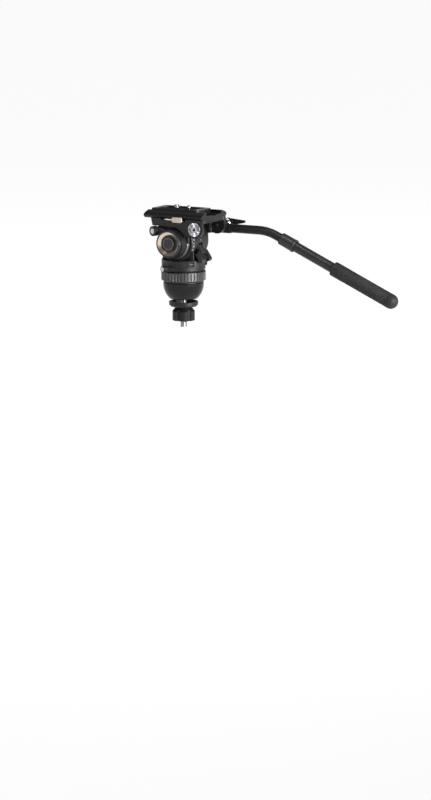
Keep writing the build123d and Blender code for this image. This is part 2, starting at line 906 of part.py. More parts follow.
def make_left_ear():
    straight = slab_x(ear_face(ear_radius, cheek_bottom + overrun), ear_inner, ear_chamfer_start)
    lower = slab_x(ear_face(ear_radius, cheek_bottom + overrun), ear_chamfer_start, ear_outer)
    cone = turned_x(
        (0, ear_chamfer_start), (ear_radius, ear_chamfer_start), (ear_face_radius, ear_outer), (0, ear_outer),
    )
    above = box(ear_chamfer_start, ear_outer, -ear_radius, ear_radius, tilt_height, cheek_bottom + overrun)
    return straight + (lower & (cone + above))


def make_left_cheek():
    """Side plate: thick beside the saddle, and only its outer layer behind it."""
    face = face_of(
        (-carriage_front, carriage_top), (-carriage_front_low, cheek_bottom), (0, cheek_bottom),
        (0, cheek_rear_bottom), (rosette_offset, cheek_rear_bottom), (carriage_rear, rosette_height),
        (carriage_rear, carriage_top),
    )
    behind = Pos(cheek_step + carriage_rear, tilt_height) * Rectangle(2 * carriage_rear, 2 * carriage_top)
    outer_face = face + disc_face(rosette_boss_radius, rosette_offset, rosette_height)
    outer_face -= disc_face(lever_ring_base_radius + lever_ring_space, 0, tilt_height)
    return slab_x(face - behind, ear_inner, ear_outer) + slab_x(outer_face, ear_outer, cheek_outer)


def carriage_body():
    """The carriage before it is parted into a saddle block and two sides."""
    side = make_left_ear() + make_left_cheek()
    body = side + mirror(side, about=Plane.YZ)
    profile = face_of(
        (-carriage_front, carriage_top), (-carriage_front_low, cheek_bottom), (cavity_front, cheek_bottom),
        (cavity_front, cavity_roof), (carriage_rear, cavity_roof), (carriage_rear, carriage_top),
    )
    middle = slab_x(profile, -ear_outer, ear_outer)
    middle -= rod_x(saddle_radius, -ear_inner, ear_inner, 0, tilt_height)
    body += middle
    body += rod_x(hub_radius, ear_outer - overrun, lever_ring_outer - seat_gap, 0, tilt_height)
    body -= rod_x(shaft_radius, -cheek_outer - overrun, lever_ring_outer + overrun, 0, tilt_height)
    body -= box(lock_pocket_inner, cheek_outer + overrun, lock_pocket_front, lock_pocket_rear,
                carriage_top - lock_pocket_height, carriage_top + overrun)
    body -= Pos(lock_pivot_x, lock_pivot_y, 0) * rod(
        lock_pivot_radius + running_gap, carriage_top - lock_pivot_depth, carriage_top)
    for side_place in (1, -1):
        bore = rod_x(rosette_bore, ear_inner - overrun, cheek_outer + overrun, rosette_offset, rosette_height)
        body -= bore if side_place > 0 else mirror(bolt_bore(), about=Plane.YZ)
    for place in platform_screw_places():
        body -= place * rod(m4_radius, carriage_top - platform_screw_depth, carriage_top + overrun)
    body -= rod_x(stop_pin_radius, cheek_outer - stop_pin_depth, cheek_outer + overrun, stop_pin_y,
                  stop_pin_z)
    for dowel in carriage_dowel_solids():
        body -= dowel
    return fillet_soft(body)


def carriage_slice(low, high):
    """What lies between two upright planes across the carriage."""
    return carriage_body() & box(low, high, -2 * carriage_rear, 2 * carriage_rear, 0, 2 * carriage_top)


def make_tilt_carriage():
    return carriage_slice(seat_gap - ear_inner, ear_inner - seat_gap)


def make_carriage_side_left():
    return carriage_slice(ear_inner, 2 * lever_ring_outer)


def make_carriage_side_right():
    return carriage_slice(-2 * cheek_outer, -ear_inner)


def carriage_dowel_solids():
    """Dowels pressed across each seam, in the middle of the roof's thickness."""
    height = (cavity_roof + carriage_top) / 2
    solids = []
    for y in (-dowel_front, dowel_middle, dowel_rear):
        dowel = rod_x(dowel_radius, dowel_inner, dowel_outer, y, height)
        solids += [dowel, mirror(dowel, about=Plane.YZ)]
    return solids


def make_carriage_dowels():
    return Compound(children=carriage_dowel_solids())


def bolt_bore():
    return rod_x(
        bolt_radius + running_gap, ear_inner - overrun, cheek_outer + overrun, rosette_offset, rosette_height)


def fillet_soft(body):
    """Chamfer on the carriage's two upright front corners."""
    edges = body.edges().filter_by(
        lambda edge: edge.center().Y < -carriage_front_low and abs(edge.center().X) > cheek_outer - overrun
        and edge.length > (carriage_top - cheek_bottom) / 2 and abs(edge.tangent_at(0).Z) > steep_share)
    return chamfer(edges, corner_cut / 2)


def make_lever_stop_pin():
    return rod_x(
        stop_pin_radius, cheek_outer - stop_pin_depth, cheek_outer + stop_pin_proud, stop_pin_y, stop_pin_z)


def make_tilt_shaft():
    shaft = rod_x(shaft_radius, -right_cap_outer + overrun, knob_back + knob_web, 0, tilt_height)
    socket = rod_x(m4_head_radius, knob_back - overrun, knob_back + knob_web + overrun, 0, tilt_height)
    return shaft - socket


def make_right_cap():
    """Turned cap over the shaft's right-hand end."""
    cap = turned_x(
        (0, ear_outer), (right_cap_radius, ear_outer), (right_cap_radius, right_cap_outer - small_edge),
        (right_cap_radius - small_edge, right_cap_outer), (0, right_cap_outer),
    )
    cap -= rod_x(shaft_radius, ear_outer - overrun, right_cap_outer - overrun, 0, tilt_height)
    return mirror(cap, about=Plane.YZ)


# Rosettes
def rosette_shape():
    """Toothed disc standing on Z = 0 with its teeth at the top."""
    disc = turned(
        (0, 0), (rosette_radius, 0), (rosette_radius, rosette_thickness - fine_edge),
        (rosette_radius - fine_edge, rosette_thickness), (0, rosette_thickness),
    )
    half = math.pi * rosette_radius / rosette_teeth * tooth_gap_share
    notch = face_of((-half, 0), (half, 0), (0, -tooth_depth))
    groove = Plane((0, 0, rosette_thickness), x_dir=(0, 1, 0), z_dir=(1, 0, 0)) * notch
    wedge = Pos(tooth_start_radius, 0, 0) * extrude(groove, rosette_radius)
    disc -= [Rot(0, 0, index * 360 / rosette_teeth) * wedge for index in range(rosette_teeth)]
    return disc


def rosette_place(x, facing):
    return Pos(x, rosette_offset, rosette_height) * Rot(0, 90 * facing, 0)


def make_rosette_left():
    bore = rod_x(rosette_bore, cheek_outer - overrun, rosette_face + overrun, rosette_offset, rosette_height)
    return rosette_place(cheek_outer, 1) * rosette_shape() - bore


def make_rosette_right():
    bore = rod_x(bolt_radius + seat_gap, -rosette_face - overrun, overrun - cheek_outer,
                 rosette_offset, rosette_height)
    return rosette_place(-cheek_outer, -1) * rosette_shape() - bore


# Platform and camera plate
def slab_y(face, low, high):
    """An (X, Z) face made solid between two places along Y."""
    return extrude(Plane.XZ.offset(-low) * face, low - high)


def platform_screw_places():
    places = []
    for x in (platform_screw_x, -platform_screw_x):
        for y in (-platform_screw_front, platform_screw_rear):
            places.append(Pos(x, y, 0))
    return places


def make_platform():
    half = face_of(
        (0, carriage_top), (platform_half_width - flange_inset, carriage_top),
        (platform_half_width, flange_low),
        (platform_half_width, flange_high), (platform_half_width - rail_shoulder_inset, rail_shoulder),
        (rail_outer, rail_top), (channel_half_width - dovetail_lean, rail_top),
        (channel_half_width, channel_floor),
        (0, channel_floor),
    )
    section = half + mirror(half, about=Plane.YZ)
    body = slab_y(section, -platform_front, platform_rear)
    body -= slab_y(jaw_face(slide_gap), -jaw_half_length - slide_gap, jaw_half_length + slide_gap)
    body -= rod_through(
        lock_pivot_x, lock_pivot_y, lock_pivot_radius + running_gap, carriage_top - overrun, lock_pin_top)
    for place in platform_screw_places():
        body -= place * rod(m4_radius + seat_gap, carriage_top - overrun, rail_top)
        body -= place * rod(m4_head_radius + seat_gap, platform_screw_seat, rail_top + overrun)
    groove = box(-channel_relief_width / 2, channel_relief_width / 2, -platform_front - overrun,
                 platform_rear + overrun, channel_floor - channel_relief_depth, channel_floor + overrun)
    return body - groove


def rod_through(x, y, radius, low, high):
    """Upright cylinder away from the pan axis."""
    return Pos(x, y, 0) * rod(radius, low, high)


def make_platform_screws():
    screw = Pos(0, 0, platform_screw_seat) * socket_screw(
        m4_head_radius, m4_head_height * screw_head_share, m4_radius,
        platform_screw_seat - carriage_top + platform_screw_depth, m4_hex_radius)
    return Compound(children=[place * screw for place in platform_screw_places()])


def jaw_face(margin):
    """(X, Z) section of the clamping jaw, grown by a margin for its pocket."""
    low = channel_floor + seat_gap
    high = low + jaw_height
    lean = dovetail_lean / (rail_top - channel_floor)
    inner = channel_half_width - slide_gap
    if margin > 0:
        return face_of(
            (inner - overrun, channel_floor), (inner - overrun, high + margin),
            (inner + jaw_depth + jaw_travel + margin, high + margin),
            (inner + jaw_depth + jaw_travel + margin, channel_floor),
        )
    return face_of(
        (inner - lean * seat_gap, low), (inner - lean * (high - channel_floor), high),
        (inner + jaw_depth, high),
        (inner + jaw_depth, low),
    )


def make_plate_clamp_jaw():
    return slab_y(jaw_face(0), -jaw_half_length, jaw_half_length)


def plate_outline(half_width):
    """Plan of the camera plate, with well rounded rear corners."""
    plan = Pos(0, (plate_rear - plate_front) / 2) * Rectangle(2 * half_width, plate_rear + plate_front)
    rear = plan.vertices().sort_by(Axis.Y)[-2:]
    plan = fillet(rear, plate_corner)
    front = plan.vertices().sort_by(Axis.Y)[:2]
    return fillet(front, plate_corner / 4)


def make_camera_plate():
    low = channel_floor + slide_gap
    half = face_of(
        (0, low), (channel_half_width - 2 * slide_gap, low),
        (channel_half_width - 2 * slide_gap - dovetail_lean, rail_top),
        (plate_half_width, rail_top + small_edge),
        (plate_half_width, plate_top - small_edge), (plate_half_width - small_edge, plate_top),
        (0, plate_top),
    )
    section = half + mirror(half, about=Plane.YZ)
    plate = slab_y(section, -plate_front, plate_rear)
    plate &= slab_z(plate_outline(channel_half_width), low - overrun, plate_top + overrun)
    slot = Rot(0, 0, 90) * SlotCenterToCenter(2 * plate_slot_half_length, plate_slot_width)
    recess = Rot(0, 0, 90) * SlotCenterToCenter(2 * plate_slot_half_length, plate_slot_recess_width)
    plate -= slab_z(slot, low - overrun, plate_top + overrun)
    plate -= slab_z(recess, low - overrun, plate_slot_roof)
    for pad in plate_pad_solids():
        plate -= pad
    return plate


def plate_pad_solids():
    """Rubber strips on both sides of the slot, sunk in the plate's top."""
    inner = plate_slot_width / 2 + pad_margin
    length = plate_front + plate_rear - 2 * plate_corner
    centre = (plate_rear - plate_front) / 2
    strip = Pos(inner + pad_width / 2, centre) * RectangleRounded(pad_width, length, pad_margin)
    low = plate_top + pad_proud - pad_thickness
    solid = slab_z(strip, low, plate_top + pad_proud)
    return [solid, mirror(solid, about=Plane.YZ)]


def make_plate_pads():
    return Compound(children=plate_pad_solids())


def camera_screw(radius, y):
    """Captive camera screw with a slotted head in the plate's recess."""
    head_top = plate_slot_roof - seat_gap
    head_low = head_top - camera_head_height
    tip = plate_top + camera_screw_reach
    head = rod(camera_head_radius, head_low, head_top)
    coin_slot = box(-camera_head_radius, camera_head_radius, -overrun / 2, overrun / 2,
                    head_low - overrun, head_low + camera_head_height / 2)
    neck = rod(radius * camera_neck_share, head_top, plate_top)
    pin = turned((0, plate_top), (radius, plate_top), (radius, tip - small_edge),
                 (radius - small_edge, tip), (0, tip))
    return Pos(0, y, 0) * (head - coin_slot + neck + pin)


def make_camera_screw_small():
    return camera_screw(small_screw_radius, small_screw_place)


def make_camera_screw_large():
    return camera_screw(large_screw_radius, large_screw_place)


# Plate lock lever
def make_plate_lock_lever():
    low = carriage_top - lock_pocket_height + body_gap
    high = low + lock_thickness
    half = lock_arm_width / 2
    arm = face_of(
        (lock_pivot_x - half, lock_pivot_y), (lock_pivot_x + half, lock_pivot_y),
        (cheek_outer - seat_gap, lock_pivot_y + half),
        (cheek_outer - seat_gap, lock_tab_front), (lock_tab_inner, lock_tab_front + half),
        (lock_tab_inner, lock_tab_rear - overrun), (lock_tab_inner - half, lock_tab_rear - half),
    )
    eye = Pos(lock_pivot_x, lock_pivot_y) * Circle(half)
    lever = slab_z(arm + eye, low, high)
    pin_bottom = carriage_top - lock_pivot_depth + seat_gap
    return lever + rod_through(lock_pivot_x, lock_pivot_y, lock_pivot_radius, pin_bottom,
                               lock_pin_top - seat_gap)


def make_plate_lock_tab():
    tab = box(lock_tab_inner, lock_tab_outer, lock_tab_front, lock_tab_rear, lock_tab_low, lock_tab_high)
    tab = fillet(tab.edges().filter_by(Axis.X), lock_tab_round)
    outer = tab.faces().sort_by(Axis.X)[-1]
    return chamfer(outer.edges(), small_edge)


# Tilt lock lever, drag knob and its trim
def make_tilt_lock_lever():
    ring = turned_x(
        (hub_radius + running_gap, lever_ring_inner), (lever_ring_base_radius, lever_ring_inner),
        (lever_ring_face_radius, lever_ring_outer), (hub_radius + running_gap, lever_ring_outer),
    )
    outline = disc_face(tilt_boss_radius, tilt_boss_y, tilt_boss_z)
    outline += disc_face(tilt_root_radius, tilt_root_y, tilt_root_z)
    arm = slab_x(make_hull(outline.edges()), tilt_arm_inner, tilt_arm_outer)
    arm -= rod_x(hub_radius + overrun, tilt_arm_inner - overrun, tilt_arm_outer + overrun, 0, tilt_height)
    place = boss_location(tilt_boss_x, tilt_boss_y, tilt_boss_z, boss_turn)
    reach = place * rod(tilt_boss_radius + overrun, -tilt_boss_length / 2, tilt_boss_length)
    beside = box(tilt_arm_inner, tilt_arm_outer + overrun, tilt_boss_y + tilt_boss_radius * boss_keep_share,
                 0, tilt_height, carriage_top)
    arm &= reach + beside
    lever = ring + arm + paddle_boss(place, tilt_boss_radius, tilt_boss_length)
    return lever - cap_seat(place, tilt_cap_radius, tilt_boss_length)


def make_tilt_lever_cap():
    place = boss_location(tilt_boss_x, tilt_boss_y, tilt_boss_z, boss_turn)
    return paddle_cap(place, tilt_cap_radius, tilt_boss_length)


def make_tilt_drag_knob():
    bore = shaft_radius + running_gap
    knob = turned_x(
        (bore, knob_back), (knob_radius - knob_edge, knob_back), (knob_radius, knob_back + knob_edge),
        (knob_radius, knob_front - knob_edge), (knob_radius - knob_edge, knob_front),
        (trim_radius, knob_front),
        (trim_radius, knob_front - trim_wall), (trim_inner_radius, trim_floor), (badge_radius, trim_floor),
        (badge_radius, badge_seat), (0, badge_seat), (0, shaft_end + seat_gap), (bore, shaft_end + seat_gap),
    )
    for share in knob_groove_shares:
        low = knob_back + share * (knob_front - knob_back)
        groove = rod_x(knob_radius + overrun, low, low + knob_groove_width, 0, tilt_height)
        knob -= groove - rod_x(knob_radius - knob_groove_depth, low, low + knob_groove_width, 0, tilt_height)
    return knob


def make_knob_trim_ring():
    return turned_x(
        (trim_radius, knob_front), (trim_radius, knob_front - trim_wall), (trim_inner_radius, trim_floor),
        (trim_inner_radius, trim_floor + trim_wall),
    )


def make_knob_badge():
    return turned_x(
        (0, badge_seat), (badge_radius, badge_seat), (badge_radius, badge_front - fine_edge),
        (badge_radius - fine_edge, badge_front), (0, badge_front),
    )


# Pan bar: rosette, hub, bent arm and what slides on it


def along_bar(distance):
    """Point on the bar's lower straight, measured from the crossing of its two straights."""
    return Vector(-bar_plane, bar_bend_y, bar_arm_height) + Vector(*bar_direction) * distance


def bar_frame(distance):
    return frame_along(along_bar(distance), bar_direction, (1, 0, 0))


def make_bar_rosette():
    bore = rod_x(bolt_radius + seat_gap, -bar_hub_inner - overrun, overrun - rosette_face,
                 rosette_offset, rosette_height)
    return rosette_place(-bar_hub_inner, 1) * rosette_shape() - bore


def make_bar_hub():
    hub = rod_x(bar_hub_radius, -bar_hub_inner - bar_hub_disc, -bar_hub_inner, rosette_offset, rosette_height)
    hub += rod_x(bar_boss_radius, -bar_hub_outer, -bar_hub_inner, rosette_offset, rosette_height)
    half_height = bar_radius + bar_neck_wall
    neck = box(-bar_plane - bar_half_width - bar_neck_wall, -bar_hub_inner, bar_neck_start, bar_neck_end,
               bar_arm_height - half_height, bar_arm_height + half_height)
    neck = fillet(neck.edges().filter_by(Axis.Y), bar_neck_round)
    body = hub + neck
    body -= rod_x(bolt_radius + running_gap, -bar_plane - bar_half_width - overrun, overrun - bar_hub_inner,
                  rosette_offset, rosette_height)
    start = frame_along((-bar_plane, bar_arm_start, bar_arm_height), (0, 1, 0), (1, 0, 0))
    body -= start * extrude(bar_section(), bar_neck_end - bar_arm_start + overrun)
    seat_radius = spring_radius + spring_wire / 2 + body_gap
    return body - rod_x(seat_radius, -bar_hub_outer - 2 * overrun, -spring_seat, rosette_offset,
                        rosette_height)


def bar_section():
    """Round bar with two flats, each with a groove along it."""
    section = Circle(bar_radius) & Rectangle(2 * bar_half_width, 2 * bar_radius)
    for side in (1, -1):
        section -= Pos(side * bar_half_width, 0) * Rectangle(2 * bar_groove_depth, bar_groove_width)
    return section


def make_bar_arm():
    start = Vector(-bar_plane, bar_arm_start, bar_arm_height)
    bend_start = Vector(-bar_plane, bar_bend_y - bar_tangent, bar_arm_height)
    bend_end = along_bar(bar_tangent)
    end = along_bar(bar_collar_start + bar_inner_length)
    half_drop = math.radians(bar_drop / 2)
    middle = Vector(
        -bar_plane, bar_bend_y - bar_tangent + bar_bend_radius * math.sin(half_drop),
        bar_arm_height - bar_bend_radius * (1 - math.cos(half_drop)),
    )
    path = Wire([Edge.make_line(start, bend_start), Edge.make_three_point_arc(bend_start, middle, bend_end),
                 Edge.make_line(bend_end, end)])
    return sweep(Plane(start, x_dir=(1, 0, 0), z_dir=(0, 1, 0)) * bar_section(), path=path)


def make_lock_collar():
    bore = tube_radius + running_gap
    collar = turned(
        (bore, seat_gap), (collar_radius, seat_gap), (collar_radius, collar_length - collar_lip_length),
        (collar_lip_radius, collar_length - collar_lip_length + small_edge),
        (collar_lip_radius, collar_length - small_edge), (collar_lip_radius - small_edge, collar_length),
        (bore, collar_length),
    )
    cap = turned((tube_bore, seat_gap - collar_cap), (collar_radius - small_edge, seat_gap - collar_cap),
                 (collar_radius, seat_gap), (tube_bore, seat_gap))
    return bar_frame(bar_collar_start) * (collar + cap)


def make_extension_tube():
    length = collar_length + tube_visible_length + tube_length_in_grip
    tube = rod(tube_radius, seat_gap * 2, length) - rod(tube_bore, -overrun, length - collar_cap)
    return bar_frame(bar_collar_start) * tube


def make_grip():
    low = collar_length + tube_visible_length
    high = low + grip_length
    corners = [
        (0, low + tube_length_in_grip), (tube_radius, low + tube_length_in_grip), (tube_radius, low),
        (grip_radius - overrun, low), (grip_radius - small_edge, low + small_edge),
        (grip_radius, low + overrun),
    ]
    rib_start = low + grip_length * grip_rib_start_share
    rib_pitch = grip_length * (grip_rib_end_share - grip_rib_start_share) / grip_rib_count
    for index in range(grip_rib_count):
        height = rib_start + index * rib_pitch
        corners += [(grip_radius, height), (grip_radius - grip_rib_depth, height + rib_pitch / 4),
                    (grip_radius - grip_rib_depth, height + rib_pitch / 2),
                    (grip_radius, height + 3 * rib_pitch / 4)]
    corners += [(grip_radius, high - grip_radius), (0, high - grip_radius)]
    grip = turned(*corners)
    dome = Sphere(grip_radius) & rod(grip_radius + overrun, 0, grip_radius + overrun)
    end = Pos(0, 0, high - grip_radius) * dome
    return bar_frame(bar_collar_start) * (grip + end)


# Clamp bolt, lever and spring
def make_clamp_bolt():
    bolt = rod_x(bolt_radius, -bolt_outer_end, -bolt_inner_end, rosette_offset, rosette_height)
    washer = rod_x(bolt_collar_radius, -clamp_lever_inner, -clamp_lever_inner + washer_thickness,
                   rosette_offset, rosette_height)
    return bolt + washer


def make_clamp_lever():
    hub = rod_x(clamp_hub_radius, -clamp_lever_outer, -clamp_lever_inner, rosette_offset, rosette_height)
    rise = math.radians(clamp_lever_rise)
    tip_y = rosette_offset + clamp_lever_length * math.cos(rise)
    tip_z = rosette_height + clamp_lever_length * math.sin(rise)
    outline = disc_face(clamp_hub_radius, rosette_offset, rosette_height)
    outline += disc_face(clamp_tip_radius, tip_y, tip_z)
    wing = slab_x(make_hull(outline.edges()), -clamp_lever_outer, clamp_lever_thickness - clamp_lever_outer)
    bore = rod_x(
        bolt_radius, -clamp_lever_outer - overrun, overrun - clamp_lever_inner, rosette_offset,
        rosette_height)
    return hub + wing - bore


def arc_between(start, corner, end):
    """Arc from start to end whose tangents meet at the corner."""
    middle = (start + end) / 2
    half = (end - start).length / 2
    away = corner - middle
    base_angle = math.acos(half / (corner - start).length)
    return Edge.make_three_point_arc(start, middle + away.normalized() * half * math.tan(base_angle / 2), end)


def biarc(start, start_way, end, end_way):
    """Two arcs that leave the start along one way and reach the end along the other."""
    chord = end - start
    bend = 2 * (1 - start_way.dot(end_way))
    along = chord.dot(start_way + end_way)
    reach = (math.sqrt(along ** 2 + bend * chord.dot(chord)) - along) / bend
    first_corner = start + start_way * reach
    last_corner = end - end_way * reach
    joint = (first_corner + last_corner) / 2
    return [arc_between(start, first_corner, joint), arc_between(joint, last_corner, end)]


def coil_point(quarter):
    """Point of the coil's centre line after a number of quarter turns."""
    angle = math.radians(90 * quarter)
    x = coil_start + (coil_end - coil_start) * quarter / spring_quarters
    y = rosette_offset + spring_radius * math.cos(angle)
    return Vector(-x, y, rosette_height + spring_radius * math.sin(angle))


def coil_way(quarter):
    """Direction of the coil's centre line there."""
    angle = math.radians(90 * quarter)
    rise = (coil_end - coil_start) / (spring_quarters * math.radians(90))
    return Vector(-rise, -spring_radius * math.sin(angle), spring_radius * math.cos(angle)).normalized()


def spring_path():
    """Coil of biarcs whose two ends turn to run straight out along the bolt."""
    out = Vector(-1, 0, 0)
    lead = spring_tang_radius / spring_radius / math.radians(90)
    first = coil_point(-lead)
    tang_start = Vector(-spring_seat - spring_wire, first.Y, first.Z)
    last = coil_point(spring_quarters + lead)
    tang_end = Vector(-spring_outer + spring_wire, last.Y, last.Z)
    edges = [Edge.make_line(tang_start - out * spring_wire, tang_start)]
    edges += biarc(tang_start, out, coil_point(0), coil_way(0))
    for quarter in range(spring_quarters):
        edges += biarc(coil_point(quarter), coil_way(quarter), coil_point(quarter + 1), coil_way(quarter + 1))
    edges += biarc(coil_point(spring_quarters), coil_way(spring_quarters), tang_end, out)
    edges.append(Edge.make_line(tang_end, tang_end + out * spring_wire))
    return edges


def print_coil_gap(edges):
    """Least gap between parts of the coil that lie more than half a turn apart."""
    samples = 6
    points = [edge @ (step / samples) for edge in edges for step in range(samples)]
    apart = samples * 4
    least = min(
        (points[one] - points[two]).length
        for one in range(len(points)) for two in range(one + apart, len(points))
    )
    print("spring: least gap of the coil to itself", round(least - spring_wire, 2))


def make_clamp_spring():
    edges = spring_path()
    print_coil_gap(edges)
    start = edges[0] @ 0
    section = Plane(start, x_dir=(0, 1, 0), z_dir=(-1, 0, 0)) * Circle(spring_wire / 2)
    return sweep(section, path=Wire(edges))


PARTS = {
    "half_ball": make_half_ball, "pan_base": make_pan_base, "base_screws": make_base_screws,
    "tie_down_stud": make_tie_down_stud, "tie_down_cup": make_tie_down_cup,
    "tie_down_knob": make_tie_down_knob,
    "pan_drag_ring": make_pan_drag_ring, "pan_stator_discs": make_pan_stator_discs,
    "pan_rotor_discs": make_pan_rotor_discs, "pan_lock_nut": make_pan_lock_nut,
    "pan_bearing": make_pan_bearing,
    "pan_seal": make_pan_seal, "pan_housing": make_pan_housing, "level_vial": make_level_vial,
    "level_window": make_level_window, "level_light_button": make_level_light_button,
    "pan_lock_lever": make_pan_lock_lever, "pan_lever_cap": make_pan_lever_cap,
    "tilt_housing": make_tilt_housing, "housing_screws": make_housing_screws,
    "drum_cover_left": lambda: make_drum_cover(1), "drum_cover_right": lambda: make_drum_cover(-1),
    "tilt_bearings": make_tilt_bearings, "tilt_stator_discs": make_tilt_stator_discs,
    "tilt_rotor_discs": make_tilt_rotor_discs, "counterbalance_springs": make_counterbalance_springs,
    "wing_knob": make_wing_knob, "selector_shaft": make_selector_shaft,
    "tilt_carriage": make_tilt_carriage, "carriage_side_left": make_carriage_side_left,
    "carriage_side_right": make_carriage_side_right, "carriage_dowels": make_carriage_dowels,
    "lever_stop_pin": make_lever_stop_pin, "tilt_shaft": make_tilt_shaft,
    "right_cap": make_right_cap, "rosette_left": make_rosette_left, "rosette_right": make_rosette_right,
    "platform": make_platform, "platform_screws": make_platform_screws,
    "plate_clamp_jaw": make_plate_clamp_jaw,
    "camera_plate": make_camera_plate, "plate_pads": make_plate_pads,
    "camera_screw_small": make_camera_screw_small, "camera_screw_large": make_camera_screw_large,
    "plate_lock_lever": make_plate_lock_lever, "plate_lock_tab": make_plate_lock_tab,
    "tilt_lock_lever": make_tilt_lock_lever, "tilt_lever_cap": make_tilt_lever_cap,
    "tilt_drag_knob": make_tilt_drag_knob, "knob_trim_ring": make_knob_trim_ring,
    "knob_badge": make_knob_badge,
    "bar_rosette": make_bar_rosette, "bar_hub": make_bar_hub, "bar_arm": make_bar_arm,
    "lock_collar": make_lock_collar, "extension_tube": make_extension_tube, "grip": make_grip,
    "clamp_bolt": make_clamp_bolt, "clamp_lever": make_clamp_lever, "clamp_spring": make_clamp_spring,
}

os.makedirs("parts", exist_ok=True)
for part_name, make_part in PARTS.items():
    export_step(make_part(), "parts/" + part_name + ".step")
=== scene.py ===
import math

import bpy
import numpy as np
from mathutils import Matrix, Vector


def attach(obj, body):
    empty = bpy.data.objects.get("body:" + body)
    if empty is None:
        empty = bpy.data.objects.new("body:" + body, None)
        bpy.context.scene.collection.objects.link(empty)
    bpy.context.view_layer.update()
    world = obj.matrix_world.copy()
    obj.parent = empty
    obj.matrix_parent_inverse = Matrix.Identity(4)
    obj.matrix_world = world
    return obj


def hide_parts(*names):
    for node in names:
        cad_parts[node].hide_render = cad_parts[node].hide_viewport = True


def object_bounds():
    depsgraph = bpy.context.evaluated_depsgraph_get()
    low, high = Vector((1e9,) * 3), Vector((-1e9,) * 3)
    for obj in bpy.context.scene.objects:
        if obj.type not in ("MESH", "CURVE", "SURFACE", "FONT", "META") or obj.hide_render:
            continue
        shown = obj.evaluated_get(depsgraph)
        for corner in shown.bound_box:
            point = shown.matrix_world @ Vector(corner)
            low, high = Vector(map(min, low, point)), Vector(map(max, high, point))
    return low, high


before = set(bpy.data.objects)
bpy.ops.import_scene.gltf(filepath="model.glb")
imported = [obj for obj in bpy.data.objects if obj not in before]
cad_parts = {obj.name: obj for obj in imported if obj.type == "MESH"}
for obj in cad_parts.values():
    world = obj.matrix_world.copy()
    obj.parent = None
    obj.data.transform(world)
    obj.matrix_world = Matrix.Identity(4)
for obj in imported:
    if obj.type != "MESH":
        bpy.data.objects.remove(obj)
cad_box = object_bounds()


# Camera. It stands behind the head's left-hand side and a little above the plate, so that
# the drag knob faces it and the pan bar runs off to the right.
camera_turn = math.radians(29.332)
camera_dip = math.radians(11.357)
camera_place = (3.8376, 2.2237, 0.672)
camera_lens = bpy.data.cameras.new("camera")
camera_lens.sensor_width = 36
camera_lens.lens = 109.72
camera_lens.clip_end = 100
camera_lens.dof.use_dof = False
camera = bpy.data.objects.new("camera", camera_lens)
bpy.context.scene.collection.objects.link(camera)
bpy.context.scene.camera = camera
camera.location = camera_place
camera.rotation_mode = "QUATERNION"
camera.rotation_quaternion = Vector((
    -math.cos(camera_turn) * math.cos(camera_dip),
    -math.sin(camera_turn) * math.cos(camera_dip),
    -math.sin(camera_dip),
)).to_track_quat("-Z", "Y")


# Floor, sky and lamps. A pale paper floor under a plain bright sky, and four soft boxes: the key box
# to the right of the camera, a weak fill to its left, one overhead and one behind the head.
class Flow:
    """A value on its way through a material: sums, products and powers of it add Math nodes."""

    def __init__(self, finish, socket):
        self.finish = finish
        self.socket = socket

    def math(self, operation, first, second=0.0):
        return self.finish.node("ShaderNodeMath", {"operation": operation}, {0: first, 1: second})

    def __add__(self, other):
        return self.math("ADD", self, other)

    def __sub__(self, other):
        return self.math("SUBTRACT", self, other)

    def __rsub__(self, other):
        return self.math("SUBTRACT", other, self)

    def __mul__(self, other):
        return self.math("MULTIPLY", self, other)

    def __pow__(self, other):
        return self.math("POWER", self, other)

    __radd__ = __add__
    __rmul__ = __mul__

    def sine(self):
        return self.math("SINE", self)

    def held(self):
        """The value, kept from 0 to 1."""
        return self.finish.node("ShaderNodeClamp", {}, {"Value": self})

    def between(self, low, high):
        """0 below low, 1 above high, and a smooth step from one to the other."""
        inputs = {"Value": self, "From Min": low, "From Max": high}
        return self.finish.node("ShaderNodeMapRange", {"interpolation_type": "SMOOTHSTEP"}, inputs)


class Finish:
    """A finish made of shader nodes, for a material or for the studio's sky."""

    def __init__(self, owner):
        owner.use_nodes = True
        self.owner = owner
        self.tree = owner.node_tree

    def feed(self, socket, value):
        if isinstance(value, Flow):
            self.tree.links.new(value.socket, socket)
        else:
            socket.default_value = value

    def node(self, kind, settings, inputs, output=0):
        made = self.tree.nodes.new(kind)
        for setting, value in settings.items():
            setattr(made, setting, value)
        for socket, value in inputs.items():
            self.feed(made.inputs[socket], value)
        return Flow(self, made.outputs[output])

    def shader(self, name, **sockets):
        """Sets the named shader's sockets. An underscore stands for a space in a socket's name."""
        for socket, value in sockets.items():
            self.feed(self.tree.nodes[name].inputs[socket.replace("_", " ")], value)

    def mix(self, factor, low, high):
        """The colour low where factor is 0 and high where it is 1."""
        return self.node("ShaderNodeMix", {"data_type": "RGBA"}, {0: factor, 6: low, 7: high}, 2)

    def seen(self):
        """1 for the camera and for what it sees in gloss or through glass, and 0 for plain light."""
        paths = [self.node("ShaderNodeLightPath", {}, {}, ray) for ray in
                 ("Is Camera Ray", "Is Glossy Ray", "Is Transmission Ray")]
        return (paths[0] + paths[1] + paths[2]).held()


mm = 0.001
lamp_aim = Vector((0, 40 * mm, 75 * mm))


